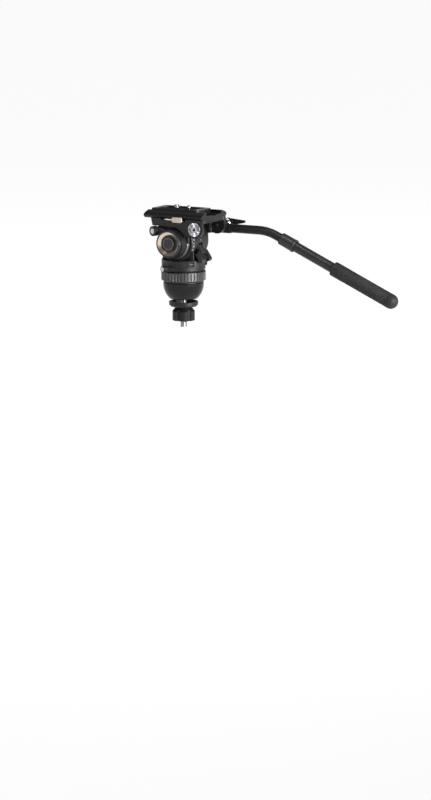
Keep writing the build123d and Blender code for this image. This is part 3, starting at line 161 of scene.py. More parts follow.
def soft_box(name, azimuth, elevation, distance, width, height, watts):
    """Lamp at an azimuth and elevation round the head, turned to face it."""
    turn, rise = math.radians(azimuth), math.radians(elevation)
    toward = Vector((
        math.sin(turn) * math.cos(rise), -math.cos(turn) * math.cos(rise), math.sin(rise)))
    light = bpy.data.lights.new(name, "AREA")
    light.shape = "RECTANGLE"
    light.size, light.size_y = width, height
    light.energy = watts
    lamp = bpy.data.objects.new(name, light)
    bpy.context.scene.collection.objects.link(lamp)
    lamp.location = lamp_aim + toward * distance
    lamp.rotation_euler = (-toward).to_track_quat("-Z", "Y").to_euler()
    lamp.visible_camera = False


soft_box("key_box", azimuth=168, elevation=6, distance=1.7, width=1.15, height=0.5, watts=70)
soft_box("fill_box", azimuth=38, elevation=8, distance=1.8, width=0.5, height=0.5, watts=4)
soft_box("top_box", azimuth=105, elevation=68, distance=1.5, width=0.8, height=0.5, watts=9)
soft_box("back_box", azimuth=285, elevation=40, distance=2.2, width=0.9, height=0.9, watts=2)

white = (1, 1, 1, 1)
room_light = 0.3
dusk_low, dusk_high, dusk_depth = 0.03, 0.3, 0.85
sky = Finish(bpy.data.worlds.new("studio"))
bpy.context.scene.world = sky.owner
direction = sky.node("ShaderNodeTexCoord", {}, {}, "Generated")
height = sky.node("ShaderNodeSeparateXYZ", {}, {0: direction}, 2)
sky_glow = 1 - height.between(dusk_low, dusk_high) * dusk_depth
sky.shader("Background", Color=white, Strength=room_light + sky.seen() * (sky_glow - room_light))

floor_reach = 40.0
floor_white = 0.93
paper_glow, glow_share = 1.15, 0.78
paper = bpy.data.meshes.new("floor")
paper.from_pydata([(x * floor_reach, y * floor_reach, cad_box[0].z)
                   for x, y in ((-1, -1), (1, -1), (1, 1), (-1, 1))], [], [(0, 1, 2, 3)])
floor = bpy.data.objects.new("floor", paper)
bpy.context.scene.collection.objects.link(floor)
floor_paper = Finish(bpy.data.materials.new("floor_paper"))
floor_paper.shader("Principled BSDF", Base_Color=(floor_white, floor_white, floor_white, 1), Roughness=0.9,
                   Specular_IOR_Level=0.1)
glow = floor_paper.node("ShaderNodeEmission", {}, {"Color": white, "Strength": paper_glow})
lit = Flow(floor_paper, floor_paper.tree.nodes["Principled BSDF"].outputs[0])
whitened = floor_paper.node("ShaderNodeMixShader", {}, {0: floor_paper.seen() * glow_share, 1: lit, 2: glow})
floor_paper.shader("Material Output", Surface=whitened)
paper.materials.append(floor_paper.owner)

bpy.context.scene.view_settings.view_transform = "Standard"


# Half ball and pan base. Aluminium castings turned on a lathe, blasted and anodised black; the
# ball is bright enough to slide in its bowl, and four screws draw it up to the pan base.
def object_place(finish):
    """Where a point is on the object, in metres."""
    return finish.node("ShaderNodeTexCoord", {}, {}, "Object")


def noise(finish, place, size, detail=2.0):
    """Soft random pattern whose spots are about as wide as size."""
    inputs = {"Vector": place, "Scale": 1 / size, "Detail": detail}
    return finish.node("ShaderNodeTexNoise", {}, inputs)


def rounded_edges(finish, radius):
    """The surface's direction, as if each edge had been broken to the radius."""
    return finish.node("ShaderNodeBevel", {"samples": 6}, {"Radius": radius})


def rubbed_edges(finish, rounded):
    """1 where an edge turns away from its face and 0 on the flats."""
    face = finish.node("ShaderNodeNewGeometry", {}, {}, "Normal")
    agree = finish.node("ShaderNodeVectorMath", {"operation": "DOT_PRODUCT"}, {0: rounded, 1: face}, "Value")
    return (1 - agree).between(0.01, 0.12)


def stretched(finish, place, scale, turn):
    """The place turned by an angle round each axis and then drawn out by the scale."""
    return finish.node("ShaderNodeMapping", {}, {"Vector": place, "Rotation": turn, "Scale": scale})


hairline_length, hairline_stretch = 22 * mm, (1, 22, 9)
hairline_turns = (0.4, 0.2, 0.7), (1.1, 0.5, 2.2)
hairline_cut = 0.71, 0.74


def hairlines(finish, place):
    """Thin, sparse handling marks in two directions."""
    one_way, other_way = [
        noise(finish, stretched(finish, place, hairline_stretch, turn), hairline_length, 1.0)
        .between(*hairline_cut) for turn in hairline_turns]
    return (one_way + other_way).held()


def bumped(finish, height, depth, normal):
    """Relief of the given depth over a surface direction."""
    return finish.node("ShaderNodeBump", {}, {"Strength": 1.0, "Distance": depth, "Height": height,
                                              "Normal": normal})


def grey(level, warmth=0.0):
    """Neutral colour of that level, a little warmer or cooler."""
    return (level * (1 + warmth), level, level * (1 - warmth), 1)


cloud_size, patch_size = 24 * mm, 6 * mm
cloud_dark, cloud_pale, speck_pale, rubbed_pale = 0.8, 1.25, 1.9, 3.2
speck_share, mark_share, rubbed_least = 0.35, 0.12, 0.35
cloud_sheen, speck_sheen, rubbed_sheen, mark_sheen = 0.18, 0.1, 0.08, 0.1
mark_relief = -0.6
bare_level, bare_metal = 0.12, 0.85


def coated(name, level, roughness, specular=0.4, grain=0.3 * mm, grain_depth=0.006 * mm, edge=0.45 * mm,
           wear=0.5, metallic=0.0, warmth=-0.02, bare=None):
    """Dark coat: cloudy sheen, blasted grain, rubbed edges and hairline marks. Where bare is 1 the coat
    is cut away down to dull metal."""
    finish = Finish(bpy.data.materials.new(name))
    place = object_place(finish)
    rounded = rounded_edges(finish, edge)
    clouds = noise(finish, place, cloud_size, 4.0)
    specks = noise(finish, place, grain, 1.0)
    patches = noise(finish, place, patch_size, 3.0).between(0.35, 0.65)
    marks = hairlines(finish, place)
    rubbed = (rubbed_edges(finish, rounded) * (rubbed_least + (1 - rubbed_least) * patches)).held() * wear
    colour = finish.mix(clouds.between(0.3, 0.7), grey(level * cloud_dark, warmth),
                        grey(level * cloud_pale, warmth))
    colour = finish.mix(specks.between(0.55, 0.8) * speck_share, colour, grey(level * speck_pale, warmth))
    colour = finish.mix((rubbed + marks * mark_share).held(), colour,
                        grey(level * rubbed_pale + 0.02, warmth))
    sheen = roughness + (clouds - 0.5) * cloud_sheen + (specks - 0.5) * speck_sheen
    sheen = sheen - rubbed * rubbed_sheen + marks * mark_sheen
    if bare:
        cut = bare(finish, place)
        colour = finish.mix(cut, colour, grey(bare_level))
        metallic = cut * bare_metal
    finish.shader("Principled BSDF", Base_Color=colour, Roughness=sheen.held(), Metallic=metallic,
                  Specular_IOR_Level=specular,
                  Normal=bumped(finish, specks + marks * mark_relief, grain_depth, rounded))
    return finish


def dress(finish, *nodes):
    """Gives CAD nodes a finish."""
    for node in nodes:
        for material_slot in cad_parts[node].material_slots:
            material_slot.material = finish.owner


gloss_black = coated("gloss_black_anodised", 0.005, 0.18, specular=0.22, grain_depth=0.001 * mm, wear=0.35)
black_anodised = coated("black_anodised", 0.006, 0.38, specular=0.28)
dress(gloss_black, "half_ball")
dress(black_anodised, "pan_base")


# Base screws, pan lock nut and pan bearing. Plain steel, ground or rolled, and hidden once the
# head is together; the nut draws the pan bearing down on the spindle.
brush_size, steel_stain_size, steel_edge = 3 * mm, 9 * mm, 0.25 * mm


def bare_steel(name, level, roughness, drawn=(1, 1, 30), warmth=0.0):
    """Bare metal with brush lines along one axis, faint stains and rubbed edges."""
    finish = Finish(bpy.data.materials.new(name))
    place = object_place(finish)
    rounded = rounded_edges(finish, steel_edge)
    brushed = noise(finish, stretched(finish, place, drawn, (0, 0, 0)), brush_size, 4.0)
    stains = noise(finish, place, steel_stain_size, 3.0)
    colour = finish.mix(stains.between(0.35, 0.7), grey(level, warmth), grey(level * 0.78, warmth + 0.02))
    colour = finish.mix(rubbed_edges(finish, rounded) * 0.4, colour, grey(min(1, level * 1.25), warmth))
    finish.shader("Principled BSDF", Base_Color=colour, Metallic=1.0,
                  Roughness=(roughness + (brushed - 0.5) * 0.22).held(),
                  Normal=bumped(finish, brushed, 0.004 * mm, rounded))
    return finish


plain_steel = bare_steel("plain_steel", 0.56, 0.3)
dress(plain_steel, "base_screws", "pan_lock_nut", "pan_bearing")


# Pan drag discs. Flat rings moulded in an off-white plastic, held in stiff grease: every other
# one turns with the housing, and the rest stay with the base.
disc_dark, disc_pale, grease_brown = (0.5, 0.49, 0.44, 1), (0.62, 0.61, 0.56, 1), (0.36, 0.33, 0.24, 1)
flow_mark_size, grease_smear_size = 7 * mm, 4 * mm


def moulded_disc_plastic():
    """Off-white plastic with flow marks and smears of grease."""
    finish = Finish(bpy.data.materials.new("disc_plastic"))
    place = object_place(finish)
    flow = noise(finish, place, flow_mark_size, 4.0)
    grease = noise(finish, place, grease_smear_size, 2.0).between(0.5, 0.62)
    colour = finish.mix(flow, disc_dark, disc_pale)
    colour = finish.mix(grease * 0.5, colour, grease_brown)
    plain = finish.node("ShaderNodeNewGeometry", {}, {}, "Normal")
    finish.shader("Principled BSDF", Base_Color=colour, Roughness=0.55 - grease * 0.35,
                  Normal=bumped(finish, flow, 0.02 * mm, plain))
    return finish


disc_plastic = moulded_disc_plastic()
dress(disc_plastic, "pan_stator_discs", "pan_rotor_discs")


# Tie-down stud, cup and knob, under the ball. A steel stud with a rolled thread, a black
# aluminium cup that draws the ball down in its bowl, and a moulded hand knob below it.
def skin(name, grid, rows_joined=False):
    """Closed skin over a grid of points: each row is a ring whose last point meets its first.
    The rows are joined end to end, or a fan of triangles closes each end."""
    rows, columns = grid.shape[:2]
    here = np.arange(rows * columns).reshape(rows, columns)
    beside = np.roll(here, -1, axis=1)
    if rows_joined:
        low, high = (here, beside), (np.roll(here, -1, axis=0), np.roll(beside, -1, axis=0))
    else:
        low, high = (here[:-1], beside[:-1]), (here[1:], beside[1:])
    faces = np.stack([low[0], low[1], high[1], high[0]], axis=-1).reshape(-1, 4).tolist()
    points = grid.reshape(-1, 3)
    if not rows_joined:
        points = np.vstack([points, grid[[0, -1]].mean(axis=1)])
        first, last = np.full(columns, rows * columns), np.full(columns, rows * columns + 1)
        faces += np.stack([first, beside[0], here[0]], axis=-1).tolist()
        faces += np.stack([last, here[-1], beside[-1]], axis=-1).tolist()
    mesh = bpy.data.meshes.new(name)
    mesh.from_pydata(points.tolist(), [], faces)
    return mesh


def face_out(mesh):
    """Turns a closed mesh the right way out: its volume, added up over its triangles, is positive."""
    mesh.calc_loop_triangles()
    corners = np.zeros(len(mesh.vertices) * 3)
    mesh.vertices.foreach_get("co", corners)
    triangles = np.zeros(len(mesh.loop_triangles) * 3, int)
    mesh.loop_triangles.foreach_get("vertices", triangles)
    a, b, c = np.moveaxis(corners.reshape(-1, 3)[triangles.reshape(-1, 3)], 1, 0)
    if np.einsum("ij,ij->i", a, np.cross(b, c)).sum() < 0:
        mesh.flip_normals()


def place_piece(name, mesh, body, finish, crease=40, replaces=()):
    """Puts a finished mesh in the scene on its body, its finish and smooth shading."""
    face_out(mesh)
    mesh.validate()
    mesh.shade_smooth()
    mesh.set_sharp_from_angle(angle=math.radians(crease))
    mesh.materials.append(finish.owner)
    piece = bpy.data.objects.new(name, mesh)
    bpy.context.scene.collection.objects.link(piece)
    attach(piece, body)
    if replaces:
        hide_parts(*replaces)


def turned_rows(radii, heights, turns):
    """Rings about +Z: radii and heights are arrays of rows by columns, and turns the columns' angles."""
    return np.stack([radii * np.cos(turns), radii * np.sin(turns), heights], axis=-1)


thread_flank, thread_crest = 2.3, 0.08


def thread_rows(radius, depth, pitch, low, high, columns, steps):
    """Rolled thread: the radius falls by depth in a V that climbs by one pitch in each turn,
    and the thread fades over half a pitch at both ends."""
    turns = np.linspace(0, 2 * np.pi, columns, endpoint=False)[None, :]
    rows = int((high - low) / pitch * steps)
    heights = np.linspace(low, high, rows)[:, None]
    phase = (heights / pitch - turns / (2 * np.pi)) % 1
    valley = np.clip(np.abs(phase - 0.5) * thread_flank - thread_crest, 0, 1)
    fade = np.clip(np.minimum(heights - low, high - heights) / (pitch / 2), 0, 1)
    radii = radius - depth * (1 - (1 - valley) * fade) * np.ones_like(turns)
    return turned_rows(radii, heights * np.ones_like(turns), turns)


stud_steel = bare_steel("stud_steel", 0.5, 0.34, drawn=(20, 20, 1))
stud_top, stud_bottom = -11 * mm, -81 * mm
stud_radius, stud_depth, stud_pitch = 6 * mm, 0.9 * mm, 1.75 * mm
stud = skin("tie_down_thread", thread_rows(
    stud_radius, stud_depth, stud_pitch, stud_bottom, stud_top, columns=40, steps=8))
place_piece("tie_down_thread", stud, "base", stud_steel, crease=60, replaces=("tie_down_stud",))
moulded_black = coated("moulded_black", 0.006, 0.42, specular=0.2, grain=0.6 * mm, grain_depth=0.014 * mm,
                       wear=0.25)
dress(black_anodised, "tie_down_cup")
dress(moulded_black, "tie_down_knob")


# Pan drag ring. A turned aluminium ring with milled finger grooves; turning it squeezes the pan
# discs. The crests are rubbed paler, and shade is painted darker in the grooves.
ring_radius = 41.1 * mm
ring_bore = 28.06 * mm
ring_foot = 37.6 * mm
ring_low, ring_shoulder, ring_high = 5.5 * mm, 8.0 * mm, 24.0 * mm
ring_edge, foot_edge, band_inset = 0.8 * mm, 0.15 * mm, 0.2 * mm
crown_inset, crown_step, crown_drop = 0.06 * mm, 0.1 * mm, 0.12 * mm
rib_count, rib_columns, band_rows = 40, 18, 34
rib_depth = 0.9 * mm
groove_width, groove_shoulder, groove_slope = 2.6 * mm, 0.5 * mm, 0.6 * mm
groove_margin, groove_fade = 0.6 * mm, 0.7 * mm


def drag_ring_rows():
    """Ring section carried round the pan axis: over the grip band the radius falls by the rib depth
    in a groove with soft shoulders, once in each rib's turn, and fades out above and below."""
    turns = np.linspace(0, 2 * np.pi, rib_count * rib_columns, endpoint=False)[None, :]
    rim = ring_high - ring_edge
    band = np.linspace(ring_shoulder + band_inset, rim - band_inset, band_rows)
    heights = np.concatenate([
        [ring_low, ring_low, ring_low + foot_edge, ring_shoulder - band_inset], band,
        [rim, ring_high - crown_drop, ring_high, ring_high]])[:, None]
    radii = np.concatenate([
        [ring_bore, ring_foot - foot_edge, ring_foot, ring_radius - foot_edge],
        np.full(len(band), ring_radius), [ring_radius - crown_inset, ring_radius - ring_edge + crown_step,
                                          ring_radius - ring_edge, ring_bore]])[:, None]
    across = np.abs(turns * rib_count / (2 * np.pi) % 1 - 0.5) * (2 * np.pi * ring_radius / rib_count)
    groove = 1 - np.clip((across - groove_width / 2 + groove_shoulder) / groove_slope, 0, 1)
    groove = groove * groove * (3 - 2 * groove)
    upright = np.clip(np.minimum(heights - ring_shoulder - groove_margin,
                                 rim - groove_margin - heights) / groove_fade, 0, 1)
    return turned_rows(radii - rib_depth * groove * upright, heights * np.ones_like(turns), turns)


groove_shade_level, crest_level, speck_level = 0.01, 0.085, 0.14
ring_speck_size, ring_patch_size = 0.4 * mm, 9 * mm
crest_blur, rib_edge = 0.1 * mm, 0.3 * mm


def knurled_grey():
    """Dark grey coat, painted darker in the grooves as shade and rubbed on the crests: it reads how far a
    point is from the pan axis."""
    finish = Finish(bpy.data.materials.new("knurled_grey"))
    place = object_place(finish)
    flat = finish.node("ShaderNodeVectorMath", {"operation": "MULTIPLY"}, {0: place, 1: (1, 1, 0)})
    reach = finish.node("ShaderNodeVectorMath", {"operation": "LENGTH"}, {0: flat}, "Value")
    crest = reach.between(ring_radius - rib_depth, ring_radius - crest_blur)
    specks = noise(finish, place, ring_speck_size, 1.0)
    patches = noise(finish, place, ring_patch_size, 3.0)
    # Painted shade: the grooves take the darker colour, and the rubbed crests take the paler one.
    colour = finish.mix(crest * (0.6 + 0.4 * patches), grey(groove_shade_level), grey(crest_level))
    colour = finish.mix(specks.between(0.6, 0.8) * 0.4, colour, grey(speck_level))
    rounded = rounded_edges(finish, rib_edge)
    finish.shader("Principled BSDF", Base_Color=colour,
                  Roughness=0.46 - crest * 0.12 + (patches - 0.5) * 0.1,
                  Metallic=crest * 0.9, Specular_IOR_Level=0.4,
                  Normal=bumped(finish, specks, 0.01 * mm, rounded))
    return finish


ring_skin = skin("drag_ring_sleeve", drag_ring_rows(), rows_joined=True)
place_piece("drag_ring_sleeve", ring_skin, "drag_ring", knurled_grey(), crease=30,
            replaces=("pan_drag_ring",))


# Pan seal and pan housing. A rubber ring keeps grit out of the gap, and the housing above it is
# an aluminium casting, machined outside and anodised in a satin black.
soft_rubber = coated("soft_rubber", 0.007, 0.65, specular=0.15, grain=0.5 * mm, grain_depth=0.02 * mm,
                     wear=0.1)
satin_housing = coated("satin_housing", 0.005, 0.42, specular=0.32, grain_depth=0.004 * mm)
dress(soft_rubber, "pan_seal")
dress(satin_housing, "pan_housing")


# Bubble level in the housing's rear left. A glass tube of pale fluid with an air bubble and two
# painted lines, behind a smoked cover with a clear opening.
window_turn = math.radians(45)
vial_height = 39.8 * mm
vial_reach = 36.4 * mm
vial_end_low, vial_end_high = 0.2 * mm, 1.4 * mm
fluid_dark, fluid_pale = (0.05, 0.055, 0.05, 1), (0.08, 0.085, 0.075, 1)
holder_black = (0.03, 0.03, 0.03, 1)
drift_size, brush_streak = 3 * mm, 0.5 * mm


def level_rows(radii, along, segments):
    """Rings about the vial's own line, which lies flat and square to the window's direction."""
    turns = np.linspace(0, 2 * np.pi, segments, endpoint=False)[None, :]
    out = vial_reach + radii[:, None] * np.cos(turns)
    side = along[:, None] * np.ones_like(turns)
    up = vial_height + radii[:, None] * np.sin(turns)
    return np.stack([out * math.cos(window_turn) - side * math.sin(window_turn),
                     out * math.sin(window_turn) + side * math.cos(window_turn), up], axis=-1)


def level_fluid():
    """Pale fluid under glass at one end of the vial, and the dark holder at its other end."""
    finish = Finish(bpy.data.materials.new("level_fluid"))
    place = object_place(finish)
    drift = noise(finish, place, drift_size, 2.0)
    across = finish.node("ShaderNodeVectorMath", {"operation": "DOT_PRODUCT"}, {
        0: place, 1: (-math.sin(window_turn), math.cos(window_turn), 0)}, "Value")
    colour = finish.mix(drift, fluid_dark, fluid_pale)
    colour = finish.mix(across.between(vial_end_low, vial_end_high), holder_black, colour)
    finish.shader("Principled BSDF", Base_Color=colour, Roughness=0.3 + drift * 0.1, Specular_IOR_Level=0.3)
    return finish


def painted(name, level, roughness=0.55, warmth=0.0):
    """Paint with a faint brushed texture."""
    finish = Finish(bpy.data.materials.new(name))
    place = object_place(finish)
    streaks = noise(finish, place, brush_streak, 2.0)
    colour = finish.mix(streaks, grey(level * 0.85, warmth), grey(level * 1.1, warmth))
    plain = finish.node("ShaderNodeNewGeometry", {}, {}, "Normal")
    finish.shader("Principled BSDF", Base_Color=colour, Roughness=roughness + (streaks - 0.5) * 0.1,
                  Normal=bumped(finish, streaks, 0.003 * mm, plain))
    return finish


dress(level_fluid(), "level_vial")
smoked_cover = coated("smoked_cover", 0.005, 0.14, specular=0.25, grain_depth=0.0005 * mm, edge=0.2 * mm,
                      wear=0.15)
dress(smoked_cover, "level_window")
line_black = painted("line_black", 0.02)
bubble_radius, bubble_half, bubble_place, bubble_proud = 1.35 * mm, 1.5 * mm, 4.4 * mm, 0.9 * mm
bubble_arc = np.linspace(0, np.pi, 15)[1:-1]
bubble_rows = level_rows(
    bubble_radius * np.sin(bubble_arc), bubble_place - bubble_half * np.cos(bubble_arc), segments=24)
bubble_rows += np.array([bubble_proud * math.cos(window_turn), bubble_proud * math.sin(window_turn), 0])
place_piece("level_bubble", skin("level_bubble", bubble_rows), "pan",
            painted("bubble_shine", 0.35, roughness=0.2))
line_radii = np.array([1.8, 2.24, 2.24, 1.8]) * mm
line_edges = np.array([-0.16, -0.16, 0.16, 0.16]) * mm
for side, line_place in (("near", 2.5 * mm), ("far", 6.3 * mm)):
    line = skin(f"level_line_{side}", level_rows(line_radii, line_place + line_edges, segments=32))
    place_piece(f"level_line_{side}", line, "pan", line_black)


# Level light button, in the housing's rear right. A moulded button that slides in a round collar
# of the housing, and springs back out.
dress(moulded_black, "level_light_button")


# Pan lock lever. A coated casting clamped round the housing's foot, with a bright turned disc
# pressed in its round end.
def frame_round(finish, place, centre, axis, up):
    """Distance from an axis, angle about it and place along it, for patterns cut on a lathe."""
    offset = finish.node("ShaderNodeVectorMath", {"operation": "SUBTRACT"}, {0: place, 1: centre})
    side = Vector(axis).cross(Vector(up))
    along, rise, across = [
        finish.node("ShaderNodeVectorMath", {"operation": "DOT_PRODUCT"}, {0: offset, 1: tuple(way)}, "Value")
        for way in (axis, up, side)]
    distance = (rise * rise + across * across) ** 0.5
    return distance, along.math("ARCTAN2", across, rise), along


lathe_streak, lathe_stain, lathe_edge, lathe_spread = 0.18 * mm, 5 * mm, 0.2 * mm, 0.6 * mm


def turned_metal(name, colour, dark, roughness, centre, axis, up, pitch=0.32 * mm, depth=0.006 * mm):
    """Bright metal faced on a lathe: fine rings round its axis, a slow shimmer and rubbed edges."""
    finish = Finish(bpy.data.materials.new(name))
    place = object_place(finish)
    distance, angle, along = frame_round(finish, place, centre, axis, up)
    rings = (distance * (2 * math.pi / pitch)).sine()
    spread = finish.node("ShaderNodeCombineXYZ", {}, {0: distance, 1: angle * lathe_spread, 2: along})
    streaks = noise(finish, spread, lathe_streak, 2.0)
    stains = noise(finish, place, lathe_stain, 3.0)
    rounded = rounded_edges(finish, lathe_edge)
    tone = finish.mix((stains * 0.5 + streaks * 0.5).between(0.3, 0.75), colour, dark)
    finish.shader("Principled BSDF", Base_Color=tone, Metallic=1.0,
                  Roughness=(roughness + (streaks - 0.5) * 0.25).held(),
                  Normal=bumped(finish, rings * 0.5 + streaks, depth, rounded))
    return finish


silver, silver_dark = (0.56, 0.57, 0.59, 1), (0.34, 0.35, 0.37, 1)
lever_black = coated("lever_black", 0.006, 0.42, specular=0.28, grain=0.35 * mm, grain_depth=0.008 * mm)
left, upward = (1, 0, 0), (0, 0, 1)
pan_cap_centre = (46.3 * mm, -14.7 * mm, 31 * mm)
pan_cap_turn = math.radians(-20)
pan_cap_axis = (math.cos(pan_cap_turn), math.sin(pan_cap_turn), 0)
dress(lever_black, "pan_lock_lever")
dress(turned_metal("pan_lever_disc", silver, silver_dark, 0.3, pan_cap_centre, pan_cap_axis, upward),
      "pan_lever_cap")


# Tilt housing, its screws and the drum's covers. One casting carries the tilt drum on a squared
# tower; four socket screws hold it down on the pan housing, and a cover closes each end.
black_screw = coated("black_oxide_screw", 0.016, 0.34, specular=0.4, metallic=0.6, grain=0.2 * mm, wear=0.6)
dress(satin_housing, "tilt_housing")
dress(black_screw, "housing_screws")
dress(black_anodised, "drum_cover_left", "drum_cover_right")


# Tilt scale and index dot. Short lines and plain numbers printed in white on the drum beside the
# left ear, and a round dot above the selector.
drum_radius = 36 * mm
tilt_axis_height = 79 * mm
print_lift, print_half = 0.03 * mm, 0.02 * mm
scale_paint = painted("scale_paint", 0.45, warmth=0.01)


def on_drum(flat, x, rise, lift):
    """Wraps a flat drawing round the drum: its width runs along the tilt axis, read from behind,
    its height becomes an angle about that axis, and its thickness stands out from the drum."""
    turn = math.radians(rise) + flat[:, 1] / drum_radius
    reach = drum_radius + lift + flat[:, 2]
    return np.stack([x - flat[:, 0], reach * np.cos(turn), tilt_axis_height + reach * np.sin(turn)], axis=-1)


def drum_mark(name, mesh, x, rise):
    """Wraps a mesh drawn flat round the drum and puts it on the pan body."""
    flat = np.zeros(len(mesh.vertices) * 3)
    mesh.vertices.foreach_get("co", flat)
    mesh.vertices.foreach_set("co", on_drum(flat.reshape(-1, 3), x, rise, print_lift).ravel())
    mesh.update()
    place_piece(name, mesh, "pan", scale_paint)


def flat_block(name, width, height):
    """Thin block with a few divisions up its height, so that it bends with the drum."""
    across = np.array([-1, 1, 1, -1]) * width / 2
    depth = np.array([-1, -1, 1, 1]) * print_half
    rows = np.linspace(-height / 2, height / 2, 4)
    ones = np.ones((4, 4))
    return skin(name, np.stack([across * ones, rows[:, None] * ones, depth * ones], axis=-1))


number_boldness = 0.07 * mm


def drawn_number(text, height):
    """Plain number as a thin solid, centred on the origin."""
    curve = bpy.data.curves.new("number", "FONT")
    curve.body = text
    curve.size = height
    curve.extrude = print_half
    curve.offset = number_boldness
    curve.resolution_u = 3
    curve.align_x, curve.align_y = "CENTER", "CENTER"
    drawn = bpy.data.objects.new("number", curve)
    bpy.context.scene.collection.objects.link(drawn)
    mesh = bpy.data.meshes.new_from_object(drawn.evaluated_get(bpy.context.evaluated_depsgraph_get()))
    bpy.data.objects.remove(drawn)
    return mesh


long_line, short_line, line_width = 2.2 * mm, 1.4 * mm, 0.45 * mm
line_start, number_middle, number_height = 29.0 * mm, 23.7 * mm, 4.4 * mm
degrees_per_line = 5
for step in range(-4, 5):
    length = long_line if step % 2 == 0 else short_line
    line = flat_block("line", length, line_width)
    drum_mark(f"tilt_line_{step + 4}", line, line_start - length / 2, step * degrees_per_line)
for rise in (-20, -10, 0, 10, 20):
    drum_mark(f"tilt_number_{rise + 20}", drawn_number(str(abs(rise)), number_height), number_middle, rise)
dot_place, dot_rise = -1.4 * mm, 6.0
dot_turns = np.linspace(0, 2 * np.pi, 24, endpoint=False)
dot_rings = np.array([[0.9, -0.02], [0.95, 0.0], [0.9, 0.02]]) * mm
dot = skin("dot", turned_rows(dot_rings[:, :1], dot_rings[:, 1:] * np.ones_like(dot_turns), dot_turns))
drum_mark("index_dot", dot, dot_place, dot_rise)


# Inside the drum. Ball bearings, drag discs, three spring packs for the counterbalance, and the
# shaft that the carriage turns on; none of it shows from outside.
dress(plain_steel, "tilt_bearings", "counterbalance_springs", "tilt_shaft")
dress(disc_plastic, "tilt_stator_discs", "tilt_rotor_discs")


# Counterbalance selector. A moulded wing knob on a steel shaft, sunk in a scoop at the drum's rear;
# it clicks from one strength of the springs to the next.
knob_plastic = coated("knob_plastic", 0.007, 0.42, specular=0.42, grain=0.7 * mm, grain_depth=0.012 * mm,
                      edge=0.7 * mm, wear=0.3)
dress(knob_plastic, "wing_knob")
dress(plain_steel, "selector_shaft")


# Tilting carriage, its stop pin and right-hand cap. Two machined sides, whose ears hold the drum and
# whose cheeks carry the rosettes, are dowelled to a saddle block; the cap closes the shaft's far end.
drum_centre = (0, 0, tilt_axis_height)
ear_outer, ear_radius, ear_chamfer = 37 * mm, 31.5 * mm, 2.7 * mm
cut_blur, cut_rim = 0.15 * mm, (0.1 * mm, 0.02 * mm)


def cut_ear(finish, place):
    """1 on the sloping cut round each ear, found by its distance from the tilt axis and along it."""
    distance, _, along = frame_round(finish, place, drum_centre, left, upward)
    ring = distance.between(ear_radius - ear_chamfer, ear_radius - ear_chamfer + cut_blur)
    reach = along.math("ABSOLUTE", along)
    return ring * reach.between(ear_outer - ear_chamfer, ear_outer - ear_chamfer + cut_blur) * (
        1 - reach.between(ear_outer - cut_rim[0], ear_outer - cut_rim[1]))


cut_housing = coated("cut_housing", 0.005, 0.42, specular=0.32, grain_depth=0.004 * mm, bare=cut_ear)
dress(satin_housing, "tilt_carriage")
dress(cut_housing, "carriage_side_left", "carriage_side_right")
dress(plain_steel, "carriage_dowels")
dress(black_screw, "lever_stop_pin")
dress(black_anodised, "right_cap")


# Tilt lock lever. A coated ring round the drag knob's foot with a paddle, and a bright disc in its
# round end.
tilt_cap_centre = (47 * mm, -34.2 * mm, 99.8 * mm)
dress(lever_black, "tilt_lock_lever")
dress(turned_metal("tilt_lever_disc", silver, silver_dark, 0.28, tilt_cap_centre, left, upward),
      "tilt_lever_cap")


# Tilt drag knob. A moulded knob with a champagne trim ring, cut bright and sloping inwards, round
# a plain dark disc in the middle.
champagne, champagne_dark = (0.74, 0.63, 0.53, 1), (0.5, 0.41, 0.33, 1)
dress(knob_plastic, "tilt_drag_knob")
dress(turned_metal("champagne_cut", champagne, champagne_dark, 0.24, drum_centre, left, upward,
                   pitch=0.45 * mm, depth=0.004 * mm), "knob_trim_ring")
badge_pitch, badge_speck_size, badge_edge = 0.5 * mm, 0.5 * mm, 0.2 * mm
badge_rim_inner, badge_rim_outer = (9.8 * mm, 10.1 * mm), (10.4 * mm, 10.6 * mm)
badge_dark, badge_pale, badge_rim_level = 0.01, 0.035, 0.2


def ringed_badge():
    """Dark disc with fine turned rings that catch the light."""
    finish = Finish(bpy.data.materials.new("ringed_badge"))
    place = object_place(finish)
    distance = frame_round(finish, place, drum_centre, left, upward)[0]
    rings = (distance * (2 * math.pi / badge_pitch)).sine()
    rim = distance.between(*badge_rim_inner) * (1 - distance.between(*badge_rim_outer))
    specks = noise(finish, place, badge_speck_size, 2.0)
    colour = finish.mix((rings * 0.5 + 0.5).held(), grey(badge_dark), grey(badge_pale))
    colour = finish.mix(rim, colour, grey(badge_rim_level))
    rounded = rounded_edges(finish, badge_edge)
    finish.shader("Principled BSDF", Base_Color=colour, Metallic=0.5, Roughness=0.3 + (specks - 0.5) * 0.1,
                  Normal=bumped(finish, rings + specks * 0.4, 0.012 * mm, rounded))
    return finish


dress(ringed_badge(), "knob_badge")


# Rosettes. Toothed aluminium discs on both cheeks; the bar's own rosette locks in the right one,
# and the left one is free for a second bar.
rosette_teeth = 40
tooth_start, tooth_edge = (5.4 * mm, 6.0 * mm), 0.12 * mm
valley_shade_level, valley_shade_share = 0.2, 0.55
cutter_pitch, rosette_stain_size = 0.4 * mm, 4 * mm


